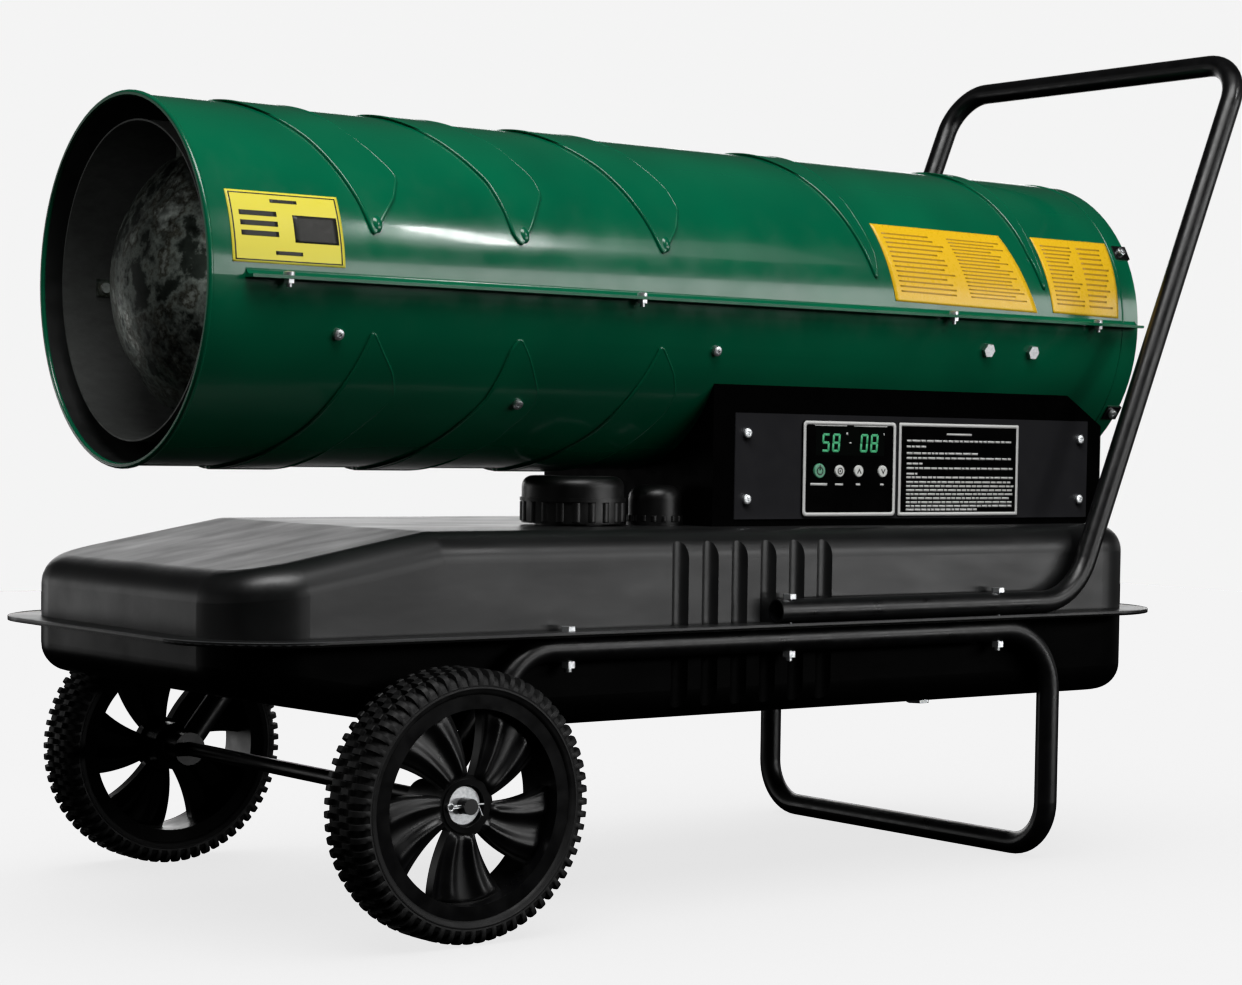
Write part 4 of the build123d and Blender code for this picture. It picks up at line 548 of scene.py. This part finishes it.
# The spokes' edges as (radius, angle from the spoke's own turn)
LEADING = ((18.0, 31.0), (50.25, 20.0), (76.5, 12.5))
TRAILING = ((18.0, -31.0), (50.25, -31.0), (76.5, -36.5))
EDGE_MARGIN = 1.2  # degrees between the skin and an edge


def spoke_skin(side, face_y, outwards, turn):
    """Ribbed skin of one spoke: between the two edges, curves through three radii, the height is two
    rounded ridges over a shallow valley. The ridges run out at the hub and at the rim."""
    u = np.linspace(0, 1, RIB_ROWS)[:, None]
    v = np.linspace(0, 1, RIB_COLS)[None, :]
    radius = RIB_START + u * (RIB_END - RIB_START)
    lead = np.polyval(np.polyfit(*np.transpose(LEADING), 2), radius) - EDGE_MARGIN
    trail = np.polyval(np.polyfit(*np.transpose(TRAILING), 2), radius) + EDGE_MARGIN
    angle = turn + trail + (lead - trail) * v
    ends = np.clip(np.minimum(u / 0.12, (1 - u) / 0.1), 0, 1) ** 0.5
    ridges = sum(np.exp(-(((v - at) / RIDGE_WIDTH) ** 2)) for at in RIDGES_AT)
    edge = np.clip(np.minimum(v, 1 - v) / 0.04, 0, 1) ** 0.5
    rise = edge * (SKIN_RISE + RIB_RISE * ends * ridges)
    sunk = np.full_like(rise, -SKIN_DEPTH)
    rim = (u == 0) | (u == 1) | (v == 0) | (v == 1)
    flat = polar(np.broadcast_to(radius, angle.shape), angle)
    x, z = AXLE_X - side * flat[..., 0], AXLE_Z - flat[..., 1]
    return [
        (np.stack([x, side * (face_y + outwards * lift), z], -1), grid(RIB_ROWS, RIB_COLS))
        for lift in (np.where(rim, sunk, rise), sunk)
    ]


def wheel_side(node):
    """-1 for the wheel on the near side, 1 for the one on the far side."""
    low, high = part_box(node)
    return -1 if low[1] + high[1] < 0 else 1


spoke_pieces = {}
for hand in ("left", "right"):
    side = wheel_side("tyre_" + hand)
    body = "wheel_" + hand
    tyre_node = "tyre_" + hand
    make_piece("lugged_" + tyre_node, [tyre(side)], tyre_rubber, body, [tyre_node], crease=38)
    skins = [
        surface
        for turn in range(0, 360, 360 // SPOKES)
        for face_y, outwards in SPOKE_FACES
        for surface in spoke_skin(side, face_y, outwards, SPOKE_TURN[side] + turn)
    ]
    ribs = make_piece("spoke_ribs_" + hand, skins, wheel_plastic, body, crease=50)
    spoke_pieces[hand] = ribs


def wire(path, radius, side_y):
    """Round wire along a path in an upright plane: each ring is the path's point plus the radius times
    the cosine of the turn along the path's normal and its sine across the plane; both ends close."""
    path = np.concatenate([path[:1], path, path[-1:]])
    size = np.full(len(path), radius)
    size[[0, -1]] = 0
    step = np.gradient(path, axis=0)
    step[0], step[-1] = step[1], step[-2]
    step /= np.linalg.norm(step, axis=1)[:, None]
    turn = np.linspace(0, 2 * np.pi, ROUND, endpoint=False)
    out = size[:, None] * np.cos(turn)
    x, z = path[:, 0, None] - step[:, 1, None] * out, path[:, 1, None] + step[:, 0, None] * out
    points = np.stack([x, side_y + size[:, None] * np.sin(turn), z], -1)
    return points, grid(len(path), ROUND, close_cols=True)


# Split pins: one wire folded round an eye in front of the axle, through it, with one leg bent down behind
PIN_R, PIN_Y = 0.74, 247.3
eye = polar(2.6, np.linspace(16, 344, 23)) - (14.6, 0)
long_leg = np.stack([np.linspace(14, -11.2, 9), np.full(9, PIN_R)], -1)
straight = [(-11.2, -PIN_R), (-4, -PIN_R), (4, -PIN_R)]
bent_leg = np.array(straight + [(8.4, -0.8), (9.6, -1.3), (10.4, -2.3), (11.4, -4.6), (12.6, -7.6)])
fold = np.concatenate([long_leg, eye, bent_leg]) + (AXLE_X, AXLE_Z)
pins = [wire(fold, PIN_R, side * PIN_Y) for side in (-1, 1)]
make_piece("folded_split_pins", pins, zinc, "heater", ["cotter_pins"], crease=60)

# -------- screws

HEAD_R, HEAD_EDGE, HEAD_TOP, CROSS_FLOOR = 4.25, 2.5, 3.5, 2.46
CROSS_HALF = 0.15, 0.43  # half the width and the length of a cross's arms, as shares of the radius


def pan_heads(seats):
    """Pan head screws: a square grid rounded to a disc, domed like the top of an ellipse, with a cross
    pressed in where either grid line lies near the middle; a flat disc closes the underside."""
    half = np.array([0.12, 0.19, 0.4, 0.46, 0.6, 0.8, 0.93, 0.985, 1])
    line = np.concatenate([-half[::-1], [0], half])
    a, b = np.meshgrid(line, line, indexing="ij")
    x, y = a * np.sqrt(1 - b**2 / 2), b * np.sqrt(1 - a**2 / 2)
    far = np.clip(np.hypot(x, y), 0, 1)
    dome = HEAD_EDGE + (HEAD_TOP - HEAD_EDGE) * np.sqrt(np.clip(1 - (far / 1.02) ** 2.4, 0, 1))
    narrow, wide = np.minimum(abs(a), abs(b)), np.maximum(abs(a), abs(b))
    cross = (narrow < CROSS_HALF[0]) & (wide < CROSS_HALF[1])
    top = np.where(wide == 1, 0, np.where(cross, CROSS_FLOOR, dome))
    surfaces = []
    for seat, normal, along in seats:
        normal, along = np.array(normal, float), np.array(along, float)
        other = np.cross(normal, along)
        disc = np.array(seat) + HEAD_R * (x[..., None] * along + y[..., None] * other)
        quads = grid(len(line), len(line))
        surfaces += [(disc + h[..., None] * normal, quads) for h in (top, top * 0)]
    return surfaces


def barrel_seat(x, degrees, radius):
    """Seat of a screw on the barrel: angle up from the seam on the near side, looking straight out."""
    turn = math.radians(degrees)
    out = (0, -math.cos(turn), math.sin(turn))
    return (x, out[1] * radius, BARREL_Z + out[2] * radius), out, (1, 0, 0)


PANEL_FACE, FLANGE_SCREW_Y = -125.2, 147.5
# Screws through the lower sheet as (x, angle, height of the rib under the head)
casing = ((-412.0, -16.2, 0), (-53.0, -16.2, 0), (-236.0, -37.7, 2.0))
screw_seats = {
    "casing_screw_heads": [
        barrel_seat(x, turn, BARREL_R + proud) for x, low, proud in casing for turn in (low, 180 - low)
    ],
    "panel_screw_heads": [
        ((x, PANEL_FACE, z), (0, -1, 0), (0.8, 0, 0.6)) for x in (-11.5, 389.5) for z in (323, 379)
    ],
    "seam_screw_heads": [
        ((x, y, BARREL_Z + SHEET), (0, 0, 1), (1, 0, 0))
        for x in (-460, -139, 205, 389)
        for y in (-FLANGE_SCREW_Y, FLANGE_SCREW_Y)
    ],
    "guard_screw_heads": [barrel_seat(442, turn, BARREL_R + 1.5) for turn in (30, -35, 150, -145)],
}
for name, seats in screw_seats.items():
    make_piece(name, pan_heads(seats), zinc, "heater", crease=40)

# -------- barrel: seam fillet, and a near-black sheet in the mouth that is painted shade

FILLET_R, FILLET_SINK = 5.0, 0.3  # the fillet reaches into both sheets by its sink
HEM_R = 1.35
LINING = 0.3


def seam_fillet(side):
    """Rolled corner where the upper sheet turns out into its flange: a hollow quarter arc that touches
    both, carried along the barrel; its far ends and its underside close it."""
    level = BARREL_Z + SHEET
    across = math.sqrt((BARREL_R + FILLET_R) ** 2 - (SHEET + FILLET_R) ** 2)
    touch = math.asin((SHEET + FILLET_R) / (BARREL_R + FILLET_R))
    turn = np.linspace(-np.pi + touch, -np.pi / 2, 12)
    arc = np.stack([across + FILLET_R * np.cos(turn), level + FILLET_R + FILLET_R * np.sin(turn)], -1)
    inner, low = arc[0, 0] - FILLET_SINK, level - FILLET_SINK
    shape = np.concatenate([arc, [(arc[-1, 0], low), (inner, low), (inner, arc[0, 1])]])
    middle = np.tile(shape.mean(axis=0), (len(shape), 1))
    rows = np.stack([middle, shape, shape, middle])
    x = np.array([SEAM_FRONT, SEAM_FRONT, SEAM_REAR, SEAM_REAR])[:, None]
    points = np.stack([np.broadcast_to(x, rows.shape[:2]), side * rows[..., 0], rows[..., 1]], -1)
    return points, grid(4, len(shape), close_cols=True)


shell_pieces = [
    make_piece("seam_fillets", [seam_fillet(-1), seam_fillet(1)], enamel, "heater", crease=40)
]


def tube_lining(radius, front, rear):
    """Short tube inside the barrel: a rectangle swept round the barrel's axis."""
    turn = np.linspace(0, 2 * np.pi, 120, endpoint=False)
    inside = radius - LINING
    shape = np.array([(front, radius), (rear, radius), (rear, inside), (front, inside)])
    x = np.broadcast_to(shape[:, 0, None], (4, len(turn)))
    y, z = shape[:, 1, None] * np.cos(turn), shape[:, 1, None] * np.sin(turn)
    return np.stack([x, y, BARREL_Z + z], -1), grid(4, len(turn), close_rows=True, close_cols=True)


# Near-black sheet laid over the green inside wall of the mouth: painted shade for the dark inside
mouth_shade_sheet = make_piece(
    "painted_shade_mouth_sheet", [tube_lining(139.2, -520.5, -452)], painted_shade_black, "heater"
)

# -------- cap and gauge


def ribbed_band(centre, radius, proud, low, high, ribs):
    """Band round an upright axis: the outside radius is the radius plus a rounded rib that repeats
    round the turn, the square root of a sine cut off below zero; the inside is plain."""
    turn = np.linspace(0, 2 * np.pi, ribs * 14, endpoint=False)
    rib = proud * np.sqrt(np.clip(np.sin(turn * ribs) * 1.25 - 0.25, 0, 1))
    # The band's section as (distance from the radius, height, share of the rib)
    outside = [(0.05, low, 0), (0.05, low + 0.6, 1), (0.05, high - 0.5, 1), (0.05, high, 0)]
    shape = np.array([(-1.0, low, 0), *outside, (-1.0, high, 0)])
    out = radius + shape[:, 0, None] + shape[:, 2, None] * rib
    x, y = centre[0] + out * np.cos(turn), centre[1] + out * np.sin(turn)
    points = np.stack([x, y, np.broadcast_to(shape[:, 1, None], out.shape)], -1)
    return points, grid(len(shape), len(turn), close_rows=True, close_cols=True)


for name, band, body in (
    ("cap_grip_ribs", ribbed_band((-145.0, -62.0), 42.5, 1.4, 303.0, 319.6, 20), "cap"),
    ("gauge_base_notches", ribbed_band((-71.5, -78.0), 22.5, 1.3, 303.0, 308.5, 16), "heater"),
):
    make_piece(name, [band], cap_plastic, body)

# -------- barrel: pressed edges and hems

BEAD_COLS = 8


def on_barrel(x, degrees, lift):
    """Points on the barrel: angle up from the seam on the near side, lifted off the sheet in mm."""
    turn = np.radians(degrees)
    radius = BARREL_R + lift
    return np.stack([x, -radius * np.cos(turn), BARREL_Z + radius * np.sin(turn)], -1)


def bead(points, normal, radius):
    """Round bead along a closed path: each ring is the path's point plus the radius times the cosine of
    the turn along the given normal and its sine across the path."""
    along = np.roll(points, -1, axis=0) - np.roll(points, 1, axis=0)
    along /= np.linalg.norm(along, axis=1)[:, None]
    across = np.cross(along, normal)
    turn = np.linspace(0, 2 * np.pi, BEAD_COLS, endpoint=False)[None, :, None]
    rings = points[:, None] + radius * (np.cos(turn) * normal[:, None] + np.sin(turn) * across[:, None])
    return rings, grid(len(points), BEAD_COLS, close_rows=True, close_cols=True)


EDGE_LIFT, EDGE_R, EDGE_STEP = 0.7, 1.6, 2.5


def rolled_edge(corners):
    """Rounded shoulder of a pressed rib: a bead along the rib's outline of (x, angle) corners, which is
    set out evenly and eased by a short moving mean."""
    corners = np.concatenate([corners, corners[:1]]).astype(float)
    steps = np.hypot(np.diff(corners[:, 0]), np.radians(np.diff(corners[:, 1])) * BARREL_R)
    far = np.concatenate([[0], np.cumsum(steps)])
    at = np.linspace(0, far[-1], int(far[-1] / EDGE_STEP), endpoint=False)
    even = np.stack([np.interp(at, far, corners[:, i]) for i in (0, 1)])
    x, degrees = np.mean([np.roll(even, shift, axis=1) for shift in (-1, 0, 1)], axis=0)
    points = on_barrel(x, degrees, EDGE_LIFT)
    return bead(points, on_barrel(x, degrees, EDGE_LIFT + 1) - points, EDGE_R)


TIP_HALF = (4.6, 2.9)  # half sizes of a tip, in mm along the barrel and in degrees round it
TIP_BASE, TIP_HEIGHT = 0.3, 3.1


def pressed_tip(x, degrees):
    """Boss where a rib ends over the seam: the upper half of an ellipsoid on an oval patch of the
    barrel, closed below by the patch itself."""
    far = np.array([0, 0.3, 0.55, 0.75, 0.88, 0.96, 1, 1, 0.6, 0])[:, None]
    domed = np.arange(len(far))[:, None] < 7
    turn = np.linspace(0, 2 * np.pi, 20, endpoint=False)
    across, over = TIP_HALF[0] * far * np.cos(turn), TIP_HALF[1] * far * np.sin(turn)
    lift = np.broadcast_to(TIP_BASE + TIP_HEIGHT * np.sqrt(1 - far**2) * domed, across.shape)
    return on_barrel(x + across, degrees + over, lift), grid(len(far), len(turn), close_cols=True)


# Outlines of the pressed ribs on the near flank: the corners' x, then their angles
WIDE_RIBS = (
    (
        (-382, -390, -398, -412, -426, -447, -399, -378, -367.5, -355, -350.6, -359, -372),
        (15, 26, 35, 50, 62, 90, 90, 60, 50, 40, 36, 28, 21),
    ),
    (
        (-249, -255, -259, -265, -280, -295, -316, -272, -250.6, -237, -229.4, -221, -219, -227, -238),
        (15, 18.6, 27, 37, 49, 62, 90, 90, 64.5, 56.5, 48, 41, 34.5, 28.7, 21),
    ),
    (
        (-110, -120, -130, -143, -160, -181, -134, -108, -86, -83.7, -92),
        (15.5, 27, 37, 49, 62, 90, 90, 64, 40.5, 33, 25),
    ),
)
NARROW_RIBS = (
    ((121, 122.5, 115, 107, 96, 62, 85, 93, 106), (12, 20.5, 35, 52.6, 90, 90, 55, 45.5, 30)),
    ((327, 322, 321, 317.6, 309, 288, 300, 309, 316), (12, 27.8, 42.4, 60.6, 90, 90, 60, 40, 25)),
)
near_edges = [rolled_edge(np.transpose(rib)) for rib in WIDE_RIBS + NARROW_RIBS]
near_edges += [rolled_edge(np.transpose(rib) * (1, -1)) for rib in WIDE_RIBS]
near_edges += [pressed_tip(x, turn) for x, turn in ((-378.5, 18.5), (-245.0, 18.5), (-106.0, 19.0))]
far_edges = [(rings * (1, -1, 1), quads) for rings, quads in near_edges]
shell_pieces.append(
    make_piece("rolled_rib_edges", near_edges + far_edges, enamel, "heater", crease=80)
)


def seam_hem(side):
    """Hem along the outer edge of the seam flange: a round bar with closed ends."""
    x = np.array([SEAM_FRONT, SEAM_FRONT, SEAM_REAR, SEAM_REAR])[:, None]
    size = np.array([0, HEM_R, HEM_R, 0])[:, None]
    turn = np.linspace(0, 2 * np.pi, ROUND, endpoint=False)
    y = BARREL_R + FLANGE - HEM_R + size * np.cos(turn)
    points = np.stack([x + 0 * y, side * y, BARREL_Z + size * np.sin(turn)], -1)
    return points, grid(4, ROUND, close_cols=True)


shell_pieces.append(
    make_piece("seam_hems", [seam_hem(-1), seam_hem(1)], enamel, "heater", crease=60)
)

# -------- decals on the barrel


def decal_areas(corners, areas, lift, fineness=9):
    """Areas of a decal between four corners (x, angle): each area (u0, v0, u1, v1) is a small grid,
    every point of which is blended from the corners and laid on the barrel. v runs upwards."""
    (xa, ta), (xb, tb), (xc, tc), (xd, td) = corners
    u0, v0, u1, v1 = np.transpose(areas)
    step = np.linspace(0, 1, fineness)
    v = v0[:, None, None] + (v1 - v0)[:, None, None] * step[None, :, None]
    u = u0[:, None, None] + (u1 - u0)[:, None, None] * step[None, None, :]
    x = (1 - v) * ((1 - u) * xa + u * xb) + v * ((1 - u) * xd + u * xc)
    turn = (1 - v) * ((1 - u) * ta + u * tb) + v * ((1 - u) * td + u * tc)
    points = on_barrel(x, turn, lift)
    one = grid(fineness, fineness)
    quads = one[None] + (np.arange(len(u0)) * fineness**2)[:, None, None]
    return points.reshape(-1, 3), quads.reshape(-1, 4)


def border(inset_u, inset_v, width_u, width_v):
    """Four areas that make a thin frame inside a decal's edge."""
    a, b, c, d = inset_u, inset_v, 1 - inset_u, 1 - inset_v
    return [(a, b, c, b + width_v), (a, d - width_v, c, d), (a, b, a + width_u, d), (c - width_u, b, c, d)]


def ruled(u0, u1, v_lines, height, seed, shortest):
    """Plain rules that stand for small print: one area on each line, of uneven lengths."""
    spread = np.random.default_rng(seed).uniform(shortest, 1, len(v_lines))
    v = np.asarray(v_lines)
    return np.stack([np.full(len(v), u0), v - height / 2, u0 + (u1 - u0) * spread, v + height / 2], -1)


VINYL, VINYL_LIFT = 0.35, 0.45
PRINT, PRINT_LIFT = 0.1, 0.6
# Corners run bottom left, bottom right, top right, top left, as (x, angle)
DECALS = {
    "front_decal": ((-502, 4.0), (-409, 4.0), (-409, 26.5), (-502, 26.5)),
    "wide_decal": ((142, 4.4), (316, 3.2), (286, 33.4), (130, 34.0)),
    "rear_decal": ((336.5, 3.6), (423, 3.0), (427, 34.0), (327, 34.0)),
}
for name, corners in DECALS.items():
    vinyl = lemon_vinyl if name == "front_decal" else yellow_vinyl
    sheet = decal_areas(corners, [(0, 0, 1, 1)], VINYL_LIFT, 33)
    make_piece(name, [sheet], vinyl, "heater", thickness=VINYL)

front_marks = [
    *border(0.022, 0.03, 0.012, 0.016),
    (0.56, 0.3, 0.955, 0.68),
    *[(0.09, v, 0.42, v + 0.07) for v in (0.36, 0.5, 0.64)],
    *[(0.38, v, 0.62, v + 0.05) for v in (0.84, 0.12)],
]
wide_marks = [
    *ruled(0.05, 0.5, np.linspace(0.87, 0.13, 13), 0.02, 3, 0.75),
    *ruled(0.54, 0.95, np.linspace(0.87, 0.13, 17), 0.016, 4, 0.7),
]
rear_marks = [
    *ruled(0.08, 0.5, np.linspace(0.88, 0.12, 15), 0.02, 5, 0.7),
    *ruled(0.56, 0.93, np.linspace(0.88, 0.12, 12), 0.024, 6, 0.7),
]
for name, marks, ink in (
    ("front_decal", front_marks, dark_ink),
    ("wide_decal", wide_marks, ochre_ink),
    ("rear_decal", rear_marks, ochre_ink),
):
    sheet = decal_areas(DECALS[name], marks, PRINT_LIFT)
    make_piece(name + "_print", [sheet], ink, "heater", thickness=PRINT)

# -------- hem round the tank's flange


def outline(x0, z0, x1, z1, corner, fineness=8):
    """Rectangle with rounded corners: a quarter turn about each corner's middle, counter-clockwise."""
    turn = np.linspace(0, np.pi / 2, fineness)
    starts = np.arange(4)[:, None] * np.pi / 2
    left, right, low, high = x0 + corner, x1 - corner, z0 + corner, z1 - corner
    middles = np.array([(right, high), (left, high), (left, low), (right, low)])
    around = np.stack([np.cos(starts + turn), np.sin(starts + turn)], -1)
    return (middles[:, None] + corner * around).reshape(-1, 2)


TANK_SEAM_Z, TANK_HEM_R = 221.0, 2.0
hem = outline(-546.0, -209.0, 447.0, 209.0, 84.0, 24)
hem = np.column_stack([hem, np.full(len(hem), TANK_SEAM_Z)])
upwards = np.tile((0.0, 0.0, 1.0), (len(hem), 1))
hem_ring = bead(hem, upwards, TANK_HEM_R)
# The hem's lighter enamel is a painted highlight for the bright line along the flange edge
make_piece("tank_flange_hem", [hem_ring], hem_highlight_enamel, "heater", crease=80)

# -------- prints on the control panel


def flat_areas(areas, y):
    """Upright rectangles (x0, z0, x1, z1) that face the near side, at a distance y."""
    x0, z0, x1, z1 = np.transpose(np.asarray(areas, float))
    x = np.stack([x0, x1, x1, x0], -1)
    z = np.stack([z0, z0, z1, z1], -1)
    return np.stack([x, np.full_like(x, y), z], -1).reshape(-1, 3), np.arange(x.size).reshape(-1, 4)


def flat_ring(outer, inner, y):
    """Flat ring between two outlines with the same number of points."""
    flat = np.stack([outer, inner])
    points = np.stack([flat[..., 0], np.full(flat.shape[:2], y), flat[..., 1]], -1)
    return points, grid(2, len(outer), close_cols=True)[:, ::-1]


def flat_disc(x, z, radius, y, inner=0.0):
    """Flat disc or ring that faces the near side."""
    turn = np.linspace(0, 360, 40, endpoint=False)
    rim, hole = (polar(far, turn) + (x, z) for far in (radius, inner or radius * 0.001))
    return flat_ring(rim, hole, y)


def flat_shape(corners, y):
    """Four-cornered shape that faces the near side, corners counter-clockwise as seen."""
    flat = np.array(corners, float)
    return np.stack([flat[:, 0], np.full(4, y), flat[:, 1]], -1), np.array([[0, 1, 2, 3]])


INK = 0.12
BEZEL_Y, PLATE_Y, LENS_Y, KEY_Y = (face - INK for face in (-127.2, -126.0, -127.2, -128.7))
for name, outer, inner, y in (
    ("bezel_frame_line", (49.9, 308.4, 156.6, 390.6, 3.6), (52.9, 311.4, 153.6, 387.6, 2.2), BEZEL_Y),
    ("plate_frame_line", (161.3, 308.3, 309.2, 390.7, 1.2), (164.2, 311.2, 306.3, 387.8, 0.6), PLATE_Y),
):
    line = flat_ring(outline(*outer), outline(*inner), y)
    make_piece(name, [line], white_ink, "heater", thickness=INK)

DASHES, DASH_GAP = 60, 1.1


def small_print(x0, x1, tops, height, seed, y):
    """Lines of small print as plain dashes: along each line, dashes of 3 to 10 mm with gaps of
    1.1 mm, cut off at the line's end."""
    dice = np.random.default_rng(seed)
    lengths = dice.uniform(3, 10, (len(tops), DASHES))
    ends = x0 + np.cumsum(lengths + DASH_GAP, axis=1)
    starts = ends - lengths - DASH_GAP
    stop = np.asarray(x1)[:, None]
    inside = starts < stop - 2
    z = np.broadcast_to(np.asarray(tops)[:, None], starts.shape)
    areas = np.stack([starts, z - height, np.minimum(ends - DASH_GAP, stop), z], -1)
    return flat_areas(areas[inside], y)


PLATE_TOP, PRINT_LEFT, PRINT_HEIGHT = 391, 171, 1.8
drops = (15.2, 20.4, 26.3, 30.6, 35.6, 39.6, 44.6, 47.8, 52.0, 55.6, 59.2, 62.8, 66.4, 70.0, 73.4, 76.6)
line_tops = PLATE_TOP - np.array(drops)
line_ends = (303, 196, 258, 303, 190, 304, 184, 303, 301, 304, 302, 304, 300, 303, 302, 258)
plate_print = [small_print(PRINT_LEFT, line_ends, line_tops, PRINT_HEIGHT, 8, PLATE_Y)]
plate_print += [flat_areas([(219, 380.2, 250, 382.0)], PLATE_Y)]
make_piece("plate_small_print", plate_print, grey_ink, "heater", thickness=INK)

# Captions over the digits and under the keys, then the dots between the digits
captions = [
    (62.5, 386.4, 99, 387.2),
    (107, 386.4, 146, 387.2),
    (58.5, 334.8, 77.5, 336.9),
    (86.5, 334.9, 95.5, 336.7),
    (110.6, 334.9, 115.4, 336.7),
    (139.0, 334.9, 143.0, 336.7),
]
dots = [(98.6, 379.0, 100.4, 381.0), (142.0, 379.0, 143.0, 381.0), (102.2, 371.6, 104.6, 372.6)]
panel_marks = [flat_areas(captions, BEZEL_Y), flat_areas(dots, LENS_Y)]
make_piece("bezel_captions", panel_marks, white_ink, "heater", thickness=INK)

DIGIT_WIDTH, DIGIT_HEIGHT, DIGIT_Z, DIGIT_SLANT = 8.6, 16.0, 372, 0.08
BAR, BAR_GAP = 2.0, 0.3


def seven_bars(x, z, lit):
    """One digit of seven bars, slanted a little to the right: each bar is a rectangle between fixed
    grid lines of the digit, numbered clockwise from the top one to the middle one, and only the lit
    ones are drawn."""
    w, h, t = DIGIT_WIDTH / 2, DIGIT_HEIGHT / 2, BAR / 2
    bars = np.array(
        [
            (-w + t, h - BAR, w - t, h),
            (w - BAR, BAR_GAP, w, h - t),
            (w - BAR, -h + t, w, -BAR_GAP),
            (-w + t, -h, w - t, -h + BAR),
            (-w, -h + t, -w + BAR, -BAR_GAP),
            (-w, BAR_GAP, -w + BAR, h - t),
            (-w + t, -t, w - t, t),
        ]
    )[list(lit)]
    points, quads = flat_areas(bars + (x, z, x, z), LENS_Y)
    points[:, 0] += DIGIT_SLANT * (points[:, 2] - z)
    return points, quads


EIGHT, FIVE, ZERO = range(7), (0, 2, 3, 5, 6), range(6)
shown = ((75.4, FIVE), (87.2, EIGHT), (119.4, ZERO), (131.2, EIGHT))
digits = [seven_bars(x, DIGIT_Z, lit) for x, lit in shown]
make_piece("display_digits", digits, digit_light, "heater", thickness=INK)

# A sign on each key: a ring with a bar, a ring with a dot, an arrow up and an arrow down
KEY_Z = 347.5
key_signs = {
    "power_key": [
        flat_disc(68, KEY_Z, 3.6, KEY_Y, 2.7),
        flat_areas([(67.4, 348, 68.6, 352.6)], KEY_Y),
    ],
    "set_key": [flat_disc(91, KEY_Z, 2.9, KEY_Y, 2.1), flat_disc(91, KEY_Z, 0.9, KEY_Y)],
    "up_key": [
        flat_shape([(110.4, 345.4), (111.5, 345.4), (113.0, 348.2), (113.0, 350.2)], KEY_Y),
        flat_shape([(115.6, 345.4), (113.0, 350.2), (113.0, 348.2), (114.5, 345.4)], KEY_Y),
    ],
    "down_key": [
        flat_shape([(138.4, 349.6), (141.0, 344.8), (141.0, 346.8), (139.5, 349.6)], KEY_Y),
        flat_shape([(143.6, 349.6), (142.5, 349.6), (141.0, 346.8), (141.0, 344.8)], KEY_Y),
    ],
}
for body, marks in key_signs.items():
    make_piece(body + "_sign", marks, dark_ink, body, thickness=INK)

# -------- floor

FLOOR_HALF, FLOOR_Z = 4000, -0.3
ticks = np.linspace(-FLOOR_HALF, FLOOR_HALF, 9)
plane = np.stack([*np.meshgrid(ticks, ticks), np.full((9, 9), FLOOR_Z)], -1).reshape(-1, 3) * MM
floor_mesh = bpy.data.meshes.new("pale_floor")
floor_mesh.from_pydata(plane.tolist(), [], grid(9, 9).tolist())
floor_mesh.materials.append(grained_skin("pale_studio_floor", "#f4f4f4", 0.8, 6.0))
floor = bpy.data.objects.new("pale_floor", floor_mesh)
bpy.context.scene.collection.objects.link(floor)
floor.is_shadow_catcher = True
floor.visible_diffuse = False
floor.visible_glossy = False

PANEL = ("control_box", "side_panel", "display_bezel", "display_window", "info_plate")
MOUTH = ("heat_shield", "flame_dome", "combustion_chamber", "burner_head", "dome_screws")
DARK = ("wheel_rim_left", "wheel_rim_right", "tank_lower")
panel_parts, mouth_parts, dark_parts = ([nodes[name] for name in names] for names in (PANEL, MOUTH, DARK))
barrel_parts = [nodes["upper_shell"], nodes["lower_shell"], *shell_pieces]
dark_parts.append(spoke_pieces["right"])


def aim_only(boxes, things, state):
    """Light linking: the boxes light only these things, or all things but these."""
    group = bpy.data.collections.new(boxes[0].name + "_flags")
    for i, thing in enumerate(things):
        group.objects.link(thing)
        group.collection_objects[i].light_linking.link_state = state
    for box in boxes:
        box.light_linking.receiver_collection = group
    return group


# The floor has its own even light and takes no other. The seam's box misses the control panel, the low
# box also the barrel, the rims, the tank's lower half and the far spokes, and one light has the mouth alone
aim_only([streak_box, streak_haze, left_wall, back_wall, top_light], [floor], "EXCLUDE")
aim_only([seam_box], [floor, *panel_parts], "EXCLUDE")
aim_only([low_box], [floor, *panel_parts, *barrel_parts, *dark_parts], "EXCLUDE")
aim_only([mouth_light], [*mouth_parts, mouth_shade_sheet], "INCLUDE")
floor_light.light_linking.blocker_collection = aim_only([floor_light], [floor], "INCLUDE")
